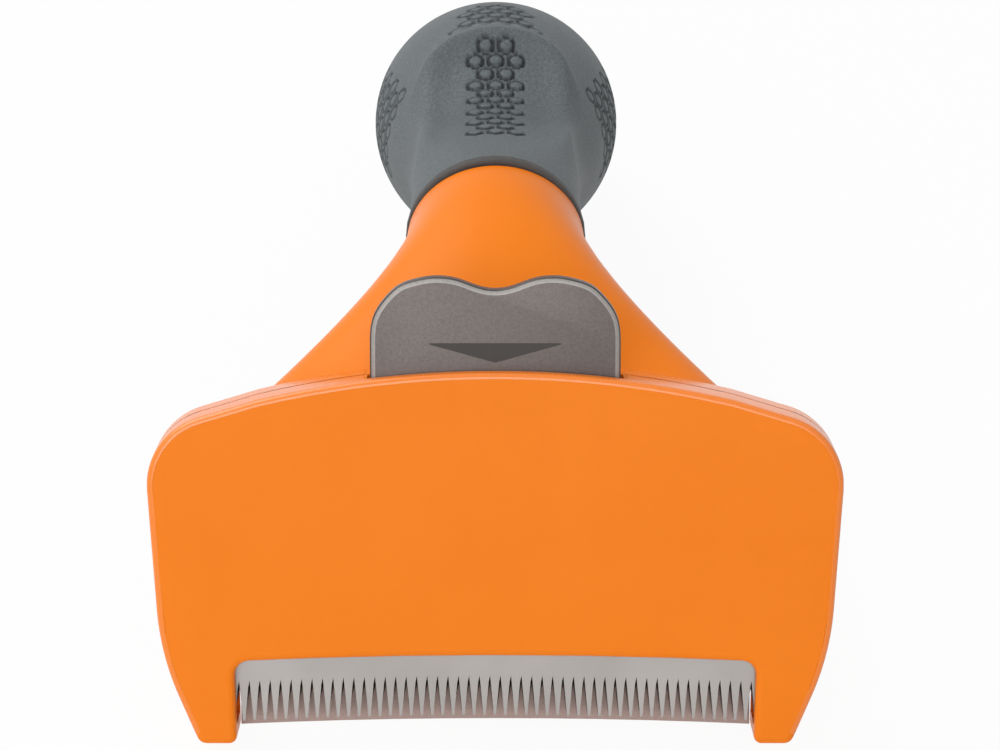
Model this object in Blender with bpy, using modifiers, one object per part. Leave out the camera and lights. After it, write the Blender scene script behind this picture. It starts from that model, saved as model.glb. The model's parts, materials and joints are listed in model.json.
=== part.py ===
"""Deshedding tool: a toothed steel edge in a two-part casing, with a spring-returned
ejector behind the teeth and a rubber-covered handle.

Everything is modelled in the head's own frame: X across the head, Y from the front
face towards the back, Z up the face from a line just above the tips of the guard feet.
An empty carries it all and stands the tool on its two feet and the underside of the grip.
"""

import math

import bmesh
import bpy
from mathutils import Matrix, Vector

MM = 0.001

# Clearances
GAP = 0.3 * MM
SLIDE_GAP = 0.4 * MM
OVERCUT = 1.0 * MM
SINK = 0.4 * MM

# Head casing, outline; OUT is counted outwards from the side of the opening
HEAD_HEIGHT = 48.5 * MM
SHOULDER_OUT = 11.6 * MM
SHOULDER_DROP = 8.1 * MM
SHOULDER_RADIUS = 11.0 * MM
KNEE_OUT = 9.6 * MM
KNEE_Z = 11.2 * MM
KNEE_RADIUS = 36.0 * MM
FOOT_DROP = 0.7 * MM
FOOT_TIP_WIDTH = 4.85 * MM
FOOT_TIP_NARROWING = 0.3 * MM
OPENING_HALF_WIDTH = 34.1 * MM
OPENING_HEIGHT = 11.1 * MM
OPENING_END_DROP = 0.8 * MM
OPENING_RADIUS = 1.9 * MM

# Head casing, thickness
FRONT_DEPTH = 5.4 * MM
REAR_DEPTH = 4.9 * MM
WALL = 1.8 * MM
FACE_FILLET = 0.8 * MM
FLOOR_ABOVE_OPENING = 2.0 * MM
FLOOR_RISE = 0.4 * MM

# Blade
BLADE_OVERLAP = 0.15 * MM
BLADE_THICKNESS = 2.2 * MM
BLADE_TIP_THICKNESS = 1.1 * MM
BLADE_TOP_GAP = 1.3 * MM
TIP_HEIGHT = 2.8 * MM
TIP_END_DROP = 0.8 * MM
GAP_COUNT = 50
TOOTH_TIP_WIDTH = 0.24 * MM
TOOTH_LENGTH = 5.3 * MM
ROOT_SLOPE = 1.9 * MM
BEVEL_LENGTH = 7.0 * MM

# Ejector
PLATE_THICKNESS = 1.2 * MM
PLATE_BELOW_TIPS = 1.2 * MM
PLATE_SIDE_GAP = 0.6 * MM
PLATE_TOP_GAP = 2.5 * MM
PLATE_STEP_WIDTH = 3.5 * MM
PLATE_STEP_Z = 20.0 * MM
PLATE_RADIUS = 1.5 * MM
TRAVEL = 8.0 * MM

# Thumb button
BUTTON_THICKNESS = 2.6 * MM
BUTTON_HALF_WIDTH = 16.25 * MM
BUTTON_RISE = 12.1 * MM
# Right half of the button's upper edge, saddle to side: X, drop below the top, rounding
BUTTON_EDGE = (
    (BUTTON_HALF_WIDTH, 5.0 * MM, 6.0 * MM),
    (12.65 * MM, 0.9 * MM, 4.0 * MM),
    (8.2 * MM, -0.15 * MM, 5.0 * MM),
    (5.2 * MM, 0.1 * MM, 4.0 * MM),
    (0.0, 2.2 * MM, 9.0 * MM),
)
BUTTON_FACE_GAP = 0.5 * MM
BUTTON_FILLET = 0.45 * MM
BUTTON_DEPTH_IN_HEAD = 15.5 * MM
RIVET_X = 8.0 * MM
RIVET_DROP = 5.7 * MM
RIVET_RADIUS = 1.2 * MM
RIVET_HEAD_RADIUS = 2.2 * MM
RIVET_HEAD_HEIGHT = 0.8 * MM
RIVET_DEPTH = 1.6 * MM

# Return springs
SPRING_INSET = 5.0 * MM
SPRING_SEAT_DROP = 17.9 * MM
SPRING_LENGTH = 11.2 * MM
SPRING_RADIUS = 1.5 * MM
SPRING_WIRE_RADIUS = 0.25 * MM
SPRING_TURNS = 6
SEAT_HALF_WIDTH = 1.9 * MM
SEAT_HEIGHT = 1.5 * MM
PIN_RADIUS = 0.8 * MM
WINDOW_TAB_LENGTH = 0.6 * MM

# Fasteners
SCREW_RADIUS = 1.1 * MM
SCREW_HEAD_RADIUS = 1.9 * MM
SCREW_HEAD_HEIGHT = 1.0 * MM
SCREW_CORNER = 0.3 * MM
FRONT_BOSS_RADIUS = 2.2 * MM
REAR_BOSS_RADIUS = 3.2 * MM
BLADE_SCREW_X = 16.0 * MM
BLADE_SCREW_RISE = 4.4 * MM
SHELL_BOSS_RADIUS = 2.8 * MM
SHELL_BOSS_GAP = 1.55 * MM
LOWER_SCREW_RISE = 4.4 * MM
UPPER_SCREW_INSET = 6.3 * MM
UPPER_SCREW_DROP = 6.4 * MM

# Neck, from the back of the head to the collar
NECK_ROOT_DROP = 12.7 * MM
NECK_ROOT_INSET = 10.8 * MM
NECK_ROOT_HALF_HEIGHT = 11.6 * MM
NECK_ROOT_SQUARENESS = 2.8
NECK_NEAR_PULL = (0.21, 0.14)
NECK_FAR_PULL = 0.47
# The neck's width keeps to the root's first and to the collar's last, in a hollow curve
NECK_WIDTH_PULLS = (0.873, 0.955)
NECK_HEIGHT_PULLS = (1.07, 1.04)
NECK_STATIONS = 10
NECK_SIDES = 36
COLLAR_Y = 47.3 * MM
COLLAR_RISE = 12.2 * MM
COLLAR_ANGLE = math.radians(20.0)
NECK_END_HALF_WIDTH = 12.25 * MM
NECK_END_HALF_HEIGHT = 11.7 * MM

# Collar ring and spigot
RING_HALF_WIDTH = 12.5 * MM
RING_HALF_HEIGHT = 12.5 * MM
RING_LENGTH = 1.7 * MM
RING_FILLET = 0.4 * MM
SPIGOT_RADIUS = 6.6 * MM
SPIGOT_LENGTH = 15.5 * MM
SPIGOT_ROOT = 2.0 * MM
HANDLE_SCREW_SETBACK = 8.5 * MM
HANDLE_SCREW_DEPTH = 4.0 * MM

# Grip
GRIP_END_Y = 146.0 * MM
GRIP_END_RISE = 4.3 * MM
GRIP_NEAR_PULL = 29.8 * MM
GRIP_FAR_PULL = 33.0 * MM
GRIP_END_ANGLE = math.radians(-19.0)
GRIP_STATIONS = 36
GRIP_SIDES = 36
# Share of the grip's length, half width, height over and depth under its centre line
GRIP_SECTIONS = (
    (0.00, 12.3 * MM, 12.3 * MM, 12.3 * MM),
    (0.13, 12.1 * MM, 12.2 * MM, 12.2 * MM),
    (0.27, 12.9 * MM, 14.2 * MM, 13.8 * MM),
    (0.40, 16.0 * MM, 17.2 * MM, 16.6 * MM),
    (0.52, 18.2 * MM, 18.0 * MM, 18.2 * MM),
    (0.66, 18.1 * MM, 17.6 * MM, 18.2 * MM),
    (0.82, 16.4 * MM, 15.6 * MM, 16.6 * MM),
    (1.00, 15.0 * MM, 13.6 * MM, 14.0 * MM),
)
GRIP_END_START = 0.80
SCOOP_START_RISE = 11.5 * MM
SCOOP_FLOOR_SLOPE = 0.13
SCOOP_WALL_Y = 71.0 * MM
SCOOP_WALL_RADIUS = 13.0 * MM
SCOOP_CROWN_RADIUS = 25.0 * MM
SCOOP_EDGE = 1.2 * MM

# Core under the rubber
CORE_HALF_WIDTH = 7.8 * MM
CORE_ABOVE = 5.6 * MM
CORE_BELOW = 7.4 * MM
CORE_END = 0.86
CORE_STATIONS = 14
CORE_SIDES = 20

# Depths across the head, worked out from the sizes above
REAR_FACE = FRONT_DEPTH + GAP
HEAD_DEPTH = REAR_FACE + REAR_DEPTH
CAVITY_FRONT = WALL
CAVITY_BACK = HEAD_DEPTH - WALL
BLADE_FRONT = CAVITY_FRONT + GAP
BLADE_BACK = BLADE_FRONT + BLADE_THICKNESS
BUTTON_FRONT = CAVITY_FRONT + BUTTON_FACE_GAP
BUTTON_BACK = BUTTON_FRONT + BUTTON_THICKNESS
PLATE_FRONT = BUTTON_BACK + GAP
PLATE_BACK = PLATE_FRONT + PLATE_THICKNESS

# Widths that follow the opening
SHOULDER_X = OPENING_HALF_WIDTH + SHOULDER_OUT
KNEE_X = OPENING_HALF_WIDTH + KNEE_OUT
BLADE_HALF_WIDTH = OPENING_HALF_WIDTH + BLADE_OVERLAP
TOOTH_PITCH = 2.0 * BLADE_HALF_WIDTH / GAP_COUNT
PLATE_HALF_WIDTH = OPENING_HALF_WIDTH - PLATE_SIDE_GAP
PLATE_UPPER_HALF_WIDTH = PLATE_HALF_WIDTH - PLATE_STEP_WIDTH
SPRING_X = PLATE_UPPER_HALF_WIDTH - SPRING_INSET
SHELL_SCREW_LOWER_X = BLADE_HALF_WIDTH + SHELL_BOSS_GAP + SHELL_BOSS_RADIUS
SHELL_SCREW_UPPER_X = SHOULDER_X - UPPER_SCREW_INSET
NECK_ROOT_HALF_WIDTH = SHOULDER_X - NECK_ROOT_INSET

# Heights that follow the opening and the top of the head
CAVITY_FLOOR = OPENING_HEIGHT + FLOOR_ABOVE_OPENING
BLADE_SCREW_Z = OPENING_HEIGHT + BLADE_SCREW_RISE
SHELL_SCREW_LOWER_Z = CAVITY_FLOOR + LOWER_SCREW_RISE
SHOULDER_Z = HEAD_HEIGHT - SHOULDER_DROP
SHELL_SCREW_UPPER_Z = SHOULDER_Z - UPPER_SCREW_DROP
PLATE_TOP_Z = HEAD_HEIGHT - WALL - PLATE_TOP_GAP
RIVET_Z = PLATE_TOP_Z - RIVET_DROP
SPRING_SEAT_Z = PLATE_TOP_Z - SPRING_SEAT_DROP
BUTTON_TAIL_Z = HEAD_HEIGHT - BUTTON_DEPTH_IN_HEAD
BLADE_TOP_Z = BUTTON_TAIL_Z - TRAVEL - BLADE_TOP_GAP
NECK_ROOT_Z = HEAD_HEIGHT - NECK_ROOT_DROP
COLLAR_Z = HEAD_HEIGHT + COLLAR_RISE
GRIP_END_Z = COLLAR_Z + GRIP_END_RISE
SCOOP_START_Z = COLLAR_Z + SCOOP_START_RISE

# The corners of the feet stay rounder than the fillet that runs over them
FOOT_OUTER_RADIUS = FACE_FILLET + 0.5 * MM
FOOT_INNER_RADIUS = FACE_FILLET + 0.2 * MM

# What is left between a spring pin and the plate's tab when the plate is all the way down
PIN_LENGTH = SPRING_LENGTH - TRAVEL - WINDOW_TAB_LENGTH - GAP

# Finishes: colour, roughness, metallic
ORANGE = ((0.91, 0.22, 0.02, 1.0), 0.35, 0.0)
STEEL = ((0.56, 0.54, 0.51, 1.0), 0.3, 1.0)
SATIN = ((0.30, 0.27, 0.26, 1.0), 0.45, 0.8)
RUBBER = ((0.10, 0.115, 0.12, 1.0), 0.7, 0.0)
RING_GREY = ((0.09, 0.08, 0.075, 1.0), 0.6, 0.0)
CORE_GREY = ((0.18, 0.18, 0.18, 1.0), 0.5, 0.0)
ZINC = ((0.62, 0.62, 0.63, 1.0), 0.35, 1.0)


# ---------------------------------------------------------------- scene and collections

def clear_scene():
    for obj in list(bpy.data.objects):
        bpy.data.objects.remove(obj, do_unlink=True)


def new_collection(name):
    collection = bpy.data.collections.new(name)
    bpy.context.scene.collection.children.link(collection)
    return collection


clear_scene()
PARTS = new_collection("deshedding_tool")
CUTTERS = new_collection("cutters")
FRAME = bpy.data.objects.new("tool_frame", None)
PARTS.objects.link(FRAME)
SLIDE = bpy.data.objects.new("ejector_slide", None)
PARTS.objects.link(SLIDE)
SLIDE.parent = FRAME
SLIDE.location = (0.0, (PLATE_FRONT + PLATE_BACK) / 2.0, 0.0)


def make_material(name, finish):
    colour, roughness, metallic = finish
    material = bpy.data.materials.new(name)
    material.use_nodes = True
    shader = material.node_tree.nodes["Principled BSDF"]
    shader.inputs["Base Color"].default_value = colour
    shader.inputs["Roughness"].default_value = roughness
    shader.inputs["Metallic"].default_value = metallic
    return material


def add_part(obj, finish, parent=None):
    """Put a finished piece in the tool, with a material of its own."""
    PARTS.objects.link(obj)
    obj.parent = parent or FRAME
    if parent is SLIDE:
        obj.matrix_parent_inverse = Matrix.Translation(-SLIDE.location)
    obj.data.materials.append(make_material(obj.name, finish))
    return obj


def add_cutter(obj):
    CUTTERS.objects.link(obj)
    obj.parent = FRAME
    obj.hide_render = True
    obj.display_type = "WIRE"
    return obj


def combine(obj, other, operation):
    modifier = obj.modifiers.new(operation.title() + "_" + other.name, "BOOLEAN")
    modifier.operation = operation
    modifier.solver = "EXACT"
    modifier.object = other


def cut(obj, *cutters):
    for cutter in cutters:
        combine(obj, cutter, "DIFFERENCE")


def fuse(obj, *others):
    for other in others:
        combine(obj, other, "UNION")


def smooth(obj, angle=30.0):
    obj.data.shade_smooth()
    obj.data.set_sharp_from_angle(angle=math.radians(angle))


# ---------------------------------------------------------------- outlines

def fillet(before, corner, after, radius):
    """Points of the round that replaces a corner of an outline."""
    if radius <= 0.0:
        return [corner]
    to_before = (before - corner).normalized()
    to_after = (after - corner).normalized()
    half = to_before.angle(to_after) / 2.0
    reach = radius / math.tan(half)
    limit = 0.49 * min((before - corner).length, (after - corner).length)
    reach = min(reach, limit)
    radius = reach * math.tan(half)
    centre = corner + (to_before + to_after).normalized() * (radius / math.sin(half))
    start = corner + to_before * reach - centre
    sweep = math.pi - 2.0 * half
    steps = max(2, math.ceil(math.degrees(sweep) / 18.0))
    turn = 1.0 if to_before.x * to_after.y - to_before.y * to_after.x < 0.0 else -1.0
    points = []
    for i in range(steps + 1):
        points.append(centre + Matrix.Rotation(turn * sweep * i / steps, 2) @ start)
    return points


def rounded(corners):
    """A closed outline from (x, z, radius) corners."""
    points = []
    count = len(corners)
    for i, (x, z, radius) in enumerate(corners):
        before = Vector(corners[i - 1][:2])
        after = Vector(corners[(i + 1) % count][:2])
        points += fillet(before, Vector((x, z)), after, radius)
    return points


def mirrored(right_half):
    """Corners of a symmetric outline from its right half, bottom to top."""
    left_half = [(-x, z, radius) for x, z, radius in reversed(right_half) if x > 1e-9]
    return right_half + left_half


def arc_height(x, half_chord, rise):
    """Height of a shallow arc over its chord, at x from the middle."""
    radius = (half_chord ** 2 + rise ** 2) / (2.0 * rise)
    return math.sqrt(radius ** 2 - x ** 2) - (radius - rise)


def circle(x, z, radius, sides=20):
    angles = [2.0 * math.pi * i / sides for i in range(sides)]
    return [Vector((x + radius * math.cos(a), z + radius * math.sin(a))) for a in angles]


def top_edge(x, inset=0.0):
    rise = HEAD_HEIGHT - SHOULDER_Z
    return SHOULDER_Z + arc_height(x, SHOULDER_X, rise) - inset


def head_outline():
    end_height = OPENING_HEIGHT - OPENING_END_DROP
    tip_inner = OPENING_HALF_WIDTH - FOOT_TIP_NARROWING
    half = []
    for share in (0.0, 0.35, 0.7):
        x = share * OPENING_HALF_WIDTH
        rise = arc_height(x, OPENING_HALF_WIDTH, OPENING_END_DROP)
        half.append((x, end_height + rise, 0.0))
    half.append((OPENING_HALF_WIDTH, end_height, OPENING_RADIUS))
    half.append((tip_inner, -FOOT_DROP, FOOT_INNER_RADIUS))
    half.append((tip_inner + FOOT_TIP_WIDTH, -FOOT_DROP, FOOT_OUTER_RADIUS))
    half.append((KNEE_X, KNEE_Z, KNEE_RADIUS))
    half.append((SHOULDER_X, SHOULDER_Z, SHOULDER_RADIUS))
    for share in (0.68, 0.54, 0.4, 0.27, 0.14, 0.0):
        x = share * SHOULDER_X
        half.append((x, top_edge(x), 0.0))
    return rounded(mirrored(half))


def cavity_outline():
    """Hollow of the casing, with slots in the feet that hold the ends of the blade."""
    inner_shoulder = SHOULDER_X - WALL
    slot_end = TIP_HEIGHT - TIP_END_DROP - GAP
    half = [
        (0.0, slot_end, 0.0),
        (BLADE_HALF_WIDTH + GAP, slot_end, 0.0),
        (BLADE_HALF_WIDTH + GAP, CAVITY_FLOOR, 0.0),
        (KNEE_X - WALL, CAVITY_FLOOR + FLOOR_RISE, WALL),
        (inner_shoulder, SHOULDER_Z - WALL, SHOULDER_RADIUS - WALL),
    ]
    for share in (0.75, 0.55, 0.35, 0.18, 0.0):
        x = share * SHOULDER_X
        half.append((x, top_edge(x, WALL), 0.0))
    return rounded(mirrored(half))


# ---------------------------------------------------------------- solids

def mesh_from_curve(obj):
    """Turn a curve object into a welded mesh object in the same place."""
    bpy.context.scene.collection.objects.link(obj)
    bpy.context.view_layer.update()
    evaluated = obj.evaluated_get(bpy.context.evaluated_depsgraph_get())
    mesh = bpy.data.meshes.new_from_object(evaluated)
    work = bmesh.new()
    work.from_mesh(mesh)
    bmesh.ops.remove_doubles(work, verts=work.verts, dist=0.00001)
    bmesh.ops.dissolve_degenerate(work, dist=0.00001, edges=work.edges)
    bmesh.ops.dissolve_limit(
        work, angle_limit=math.radians(0.5), verts=work.verts, edges=work.edges
    )
    bmesh.ops.transform(work, matrix=obj.matrix_world, verts=work.verts)
    bmesh.ops.recalc_face_normals(work, faces=work.faces)
    work.to_mesh(mesh)
    work.free()
    name = obj.name
    curve = obj.data
    bpy.data.objects.remove(obj)
    bpy.data.curves.remove(curve)
    return bpy.data.objects.new(name, mesh)


def plate(name, outline, front, back, holes=()):
    """A flat plate across the head, from depth front to depth back."""
    curve = bpy.data.curves.new(name, "CURVE")
    curve.dimensions = "2D"
    curve.fill_mode = "BOTH"
    curve.extrude = (back - front) / 2.0
    for loop in (outline, *holes):
        spline = curve.splines.new("POLY")
        spline.points.add(len(loop) - 1)
        for point, corner in zip(spline.points, loop):
            point.co = (corner.x, corner.y, 0.0, 1.0)
        spline.use_cyclic_u = True
    obj = bpy.data.objects.new(name, curve)
    obj.rotation_euler = (math.pi / 2.0, 0.0, 0.0)
    obj.location = (0.0, (front + back) / 2.0, 0.0)
    return mesh_from_curve(obj)


def solid(name, build):
    """A mesh object from a bmesh that build fills."""
    mesh = bpy.data.meshes.new(name)
    work = bmesh.new()
    build(work)
    bmesh.ops.recalc_face_normals(work, faces=work.faces)
    work.to_mesh(mesh)
    work.free()
    return bpy.data.objects.new(name, mesh)


def box(name, low, high):
    size = Vector(high) - Vector(low)
    middle = (Vector(high) + Vector(low)) / 2.0

    def build(work):
        bmesh.ops.create_cube(work, size=1.0)
        bmesh.ops.scale(work, vec=size, verts=work.verts)
        bmesh.ops.translate(work, vec=middle, verts=work.verts)

    return solid(name, build)


def rod(name, start, end, radius, sides=16):
    """A round bar between two points, with a flat side and no corner in the middle plane."""
    start = Vector(start)
    end = Vector(end)
    turn = Vector((0.0, 0.0, 1.0)).rotation_difference(end - start).to_matrix()
    turn = turn @ Matrix.Rotation(math.pi / sides, 3, "Z")

    def build(work):
        bmesh.ops.create_cone(
            work, cap_ends=True, segments=sides, radius1=radius, radius2=radius,
            depth=(end - start).length,
        )
        bmesh.ops.rotate(work, matrix=turn, verts=work.verts)
        bmesh.ops.translate(work, vec=(start + end) / 2.0, verts=work.verts)

    return solid(name, build)


def turned(name, profile, start, direction, sides=12):
    """A turned piece: (radius, distance) profile along direction, from start."""
    mesh = bpy.data.meshes.new(name)
    points = [(radius, 0.0, -distance) for radius, distance in profile]
    edges = [(i, i + 1) for i in range(len(points) - 1)]
    mesh.from_pydata(points, edges, [])
    obj = bpy.data.objects.new(name, mesh)
    turn = Vector((0.0, 0.0, -1.0)).rotation_difference(Vector(direction))
    obj.rotation_mode = "QUATERNION"
    obj.rotation_quaternion = turn
    obj.location = start
    spin = obj.modifiers.new("Spin", "SCREW")
    spin.steps = sides
    spin.render_steps = sides
    spin.use_merge_vertices = True
    spin.merge_threshold = 0.00001
    return obj


def loft(name, rings):
    """A closed body through rings of equal counts of points."""

    def build(work):
        rows = [[work.verts.new(point) for point in ring] for ring in rings]
        count = len(rows[0])
        for near, far in zip(rows, rows[1:]):
            for i in range(count):
                j = (i + 1) % count
                work.faces.new((near[i], near[j], far[j], far[i]))
        work.faces.new(rows[0])
        work.faces.new(list(reversed(rows[-1])))

    return solid(name, build)


def mark_rim(obj, depth, lowest=-1.0):
    """Mark a flat plate's outer edges at one depth, for a weighted bevel."""
    weights = obj.data.attributes.get("bevel_weight_edge")
    if weights is None:
        weights = obj.data.attributes.new("bevel_weight_edge", "FLOAT", "EDGE")
    for edge in obj.data.edges:
        ends = [obj.data.vertices[i].co for i in edge.vertices]
        if all(abs(p.y - depth) < 1e-6 and p.z > lowest for p in ends):
            weights.data[edge.index].value = 1.0


def bevel(obj, width, segments=3, by_weight=False):
    modifier = obj.modifiers.new("Edges", "BEVEL")
    modifier.width = width
    modifier.segments = segments
    modifier.limit_method = "WEIGHT" if by_weight else "ANGLE"
    modifier.angle_limit = math.radians(40.0)
    modifier.use_clamp_overlap = True
    return modifier


# ---------------------------------------------------------------- head casing

def blade_screw_places():
    return {
        "left": (-BLADE_SCREW_X, BLADE_SCREW_Z),
        "centre": (0.0, BLADE_SCREW_Z),
        "right": (BLADE_SCREW_X, BLADE_SCREW_Z),
    }


def shell_screw_places():
    places = {}
    levels = (("lower", SHELL_SCREW_LOWER_X, SHELL_SCREW_LOWER_Z),
              ("upper", SHELL_SCREW_UPPER_X, SHELL_SCREW_UPPER_Z))
    for level, x, z in levels:
        places[level + "_left"] = (-x, z)
        places[level + "_right"] = (x, z)
    return places


def make_front_shell():
    shell = plate("front_shell", head_outline(), 0.0, FRONT_DEPTH)
    mark_rim(shell, 0.0)
    bevel(shell, FACE_FILLET, by_weight=True)
    cavity = add_cutter(
        plate("front_cavity", cavity_outline(), CAVITY_FRONT, FRONT_DEPTH + OVERCUT)
    )
    cut(shell, cavity)
    slot = add_cutter(box(
        "button_slot",
        (-BUTTON_HALF_WIDTH - SLIDE_GAP, BUTTON_FRONT - SLIDE_GAP, BUTTON_TAIL_Z),
        (BUTTON_HALF_WIDTH + SLIDE_GAP, FRONT_DEPTH + OVERCUT, HEAD_HEIGHT + OVERCUT),
    ))
    cut(shell, slot)
    root = CAVITY_FRONT - SINK
    hole_end = CAVITY_FRONT - 1.5 * SINK
    for side, (x, z) in blade_screw_places().items():
        boss = rod("front_blade_boss_" + side, (x, root, z), (x, BLADE_BACK, z),
                   FRONT_BOSS_RADIUS)
        hole = rod("front_blade_hole_" + side, (x, hole_end, z),
                   (x, BLADE_BACK + OVERCUT, z), SCREW_RADIUS + GAP, sides=12)
        fuse(shell, add_cutter(boss))
        cut(shell, add_cutter(hole))
    for corner, (x, z) in shell_screw_places().items():
        boss = rod("front_boss_" + corner, (x, root, z), (x, FRONT_DEPTH, z),
                   SHELL_BOSS_RADIUS)
        hole = rod("front_hole_" + corner, (x, hole_end, z),
                   (x, FRONT_DEPTH + OVERCUT, z), SCREW_RADIUS + GAP, sides=12)
        fuse(shell, add_cutter(boss))
        cut(shell, add_cutter(hole))
    smooth(shell)
    return add_part(shell, ORANGE)


def bezier(points, share):
    """Point of a cubic curve through its first and last control point."""
    a, b, c, d = points
    rest = 1.0 - share
    return (a * rest ** 3 + b * (3.0 * rest ** 2 * share)
            + c * (3.0 * rest * share ** 2) + d * share ** 3)


def collar_axis():
    """Direction of the handle where the neck meets the grip."""
    return Vector((0.0, math.cos(COLLAR_ANGLE), math.sin(COLLAR_ANGLE)))


def collar_up():
    return Vector((0.0, -math.sin(COLLAR_ANGLE), math.cos(COLLAR_ANGLE)))


def collar_point(along, up=0.0):
    """A point on the handle's line, along metres behind the grip's front end."""
    centre = Vector((0.0, COLLAR_Y, COLLAR_Z))
    return centre + collar_axis() * along + collar_up() * up


def oval(centre, up, half_width, above, below, squareness, sides):
    """A closed ring of points: a superellipse across the X axis."""
    ring = []
    for i in range(sides):
        angle = 2.0 * math.pi * i / sides
        c = math.cos(angle)
        s = math.sin(angle)
        x = math.copysign(abs(c) ** (2.0 / squareness), c) * half_width
        z = math.copysign(abs(s) ** (2.0 / squareness), s) * (above if s > 0.0 else below)
        ring.append(centre + Vector((x, 0.0, 0.0)) + up * z)
    return ring


def neck_end():
    """Distance of the neck's end before the grip's front end."""
    return RING_LENGTH + 2.0 * GAP


def neck_rings():
    start = Vector((0.0, HEAD_DEPTH - WALL / 2.0, NECK_ROOT_Z))
    end = collar_point(-neck_end())
    span = end - start
    path = (
        start,
        start + Vector((0.0, NECK_NEAR_PULL[0] * span.y, NECK_NEAR_PULL[1] * span.z)),
        end - collar_axis() * (NECK_FAR_PULL * span.y),
        end,
    )
    widths = (NECK_ROOT_HALF_WIDTH, NECK_WIDTH_PULLS[0] * NECK_ROOT_HALF_WIDTH,
              NECK_WIDTH_PULLS[1] * NECK_END_HALF_WIDTH, NECK_END_HALF_WIDTH)
    heights = (NECK_ROOT_HALF_HEIGHT, NECK_HEIGHT_PULLS[0] * NECK_ROOT_HALF_HEIGHT,
               NECK_HEIGHT_PULLS[1] * NECK_END_HALF_HEIGHT, NECK_END_HALF_HEIGHT)
    rings = []
    for i in range(NECK_STATIONS + 1):
        share = i / NECK_STATIONS
        tilt = COLLAR_ANGLE * share
        up = Vector((0.0, -math.sin(tilt), math.cos(tilt)))
        height = bezier(heights, share)
        squareness = NECK_ROOT_SQUARENESS + (2.0 - NECK_ROOT_SQUARENESS) * share
        rings.append(oval(bezier(path, share), up, bezier(widths, share),
                          height, height, squareness, NECK_SIDES))
    return rings


def make_rear_housing():
    housing = plate("rear_housing", head_outline(), REAR_FACE, HEAD_DEPTH)
    mark_rim(housing, HEAD_DEPTH)
    bevel(housing, FACE_FILLET, by_weight=True)
    cavity = add_cutter(
        plate("rear_cavity", cavity_outline(), REAR_FACE - OVERCUT, CAVITY_BACK)
    )
    cut(housing, cavity)
    fuse(housing, add_cutter(loft("neck", neck_rings())))
    root = CAVITY_BACK + SINK
    recess_floor = HEAD_DEPTH - GAP - SCREW_HEAD_HEIGHT - GAP
    for side, (x, z) in blade_screw_places().items():
        boss = rod("rear_blade_boss_" + side, (x, BLADE_BACK + GAP, z), (x, root, z),
                   REAR_BOSS_RADIUS)
        fuse(housing, add_cutter(boss))
    for corner, (x, z) in shell_screw_places().items():
        boss = rod("rear_boss_" + corner, (x, REAR_FACE, z), (x, root, z),
                   SHELL_BOSS_RADIUS)
        fuse(housing, add_cutter(boss))
    for place, (x, z) in {**blade_screw_places(), **shell_screw_places()}.items():
        hole = rod("rear_hole_" + place, (x, BLADE_BACK - OVERCUT, z),
                   (x, HEAD_DEPTH + OVERCUT, z), SCREW_RADIUS + GAP, sides=12)
        recess = rod("rear_recess_" + place, (x, recess_floor, z),
                     (x, HEAD_DEPTH + OVERCUT, z), SCREW_HEAD_RADIUS + GAP)
        cut(housing, add_cutter(hole), add_cutter(recess))
    for side, x in (("left", -SPRING_X), ("right", SPRING_X)):
        seat = box(
            "spring_seat_" + side,
            (x - SEAT_HALF_WIDTH, BLADE_BACK + GAP, SPRING_SEAT_Z - SEAT_HEIGHT),
            (x + SEAT_HALF_WIDTH, root, SPRING_SEAT_Z),
        )
        fuse(housing, add_cutter(seat))
    socket = rod("spigot_socket", collar_point(OVERCUT),
                 collar_point(-SPIGOT_LENGTH - GAP), SPIGOT_RADIUS + GAP, sides=28)
    cut(housing, add_cutter(socket))
    cut_handle_screw_hole(housing)
    smooth(housing, 35.0)
    return add_part(housing, ORANGE)


def cut_handle_screw_hole(housing):
    """The stepped hole under the neck that takes the handle screw."""
    along = -HANDLE_SCREW_SETBACK
    seat = handle_screw_seat()
    hole = rod("handle_screw_hole", collar_point(along, -seat - 4.0 * OVERCUT),
               collar_point(along), SCREW_RADIUS + GAP, sides=12)
    recess = rod("handle_screw_recess", collar_point(along, -seat - 8.0 * OVERCUT),
                 collar_point(along, -seat + GAP), SCREW_HEAD_RADIUS + GAP)
    cut(housing, add_cutter(hole), add_cutter(recess))


def handle_screw_seat():
    """Depth of the handle screw's head seat below the handle's line."""
    return SPIGOT_RADIUS + GAP + WALL


# ---------------------------------------------------------------- blade and ejector

def edge_line(x, middle_height):
    """Height of the blade's hollow edge, or of the plate that follows it."""
    rise = arc_height(min(abs(x), BLADE_HALF_WIDTH), BLADE_HALF_WIDTH, TIP_END_DROP)
    return middle_height - TIP_END_DROP + rise


def hollow_edge(middle_height, half_width):
    """Right half of the shallow arch along the bottom of the blade or the plate."""
    half = []
    for share in (0.0, 0.2, 0.4, 0.6, 0.8, 1.0):
        x = share * half_width
        half.append((x, edge_line(x, middle_height), 0.0))
    return half


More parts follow.
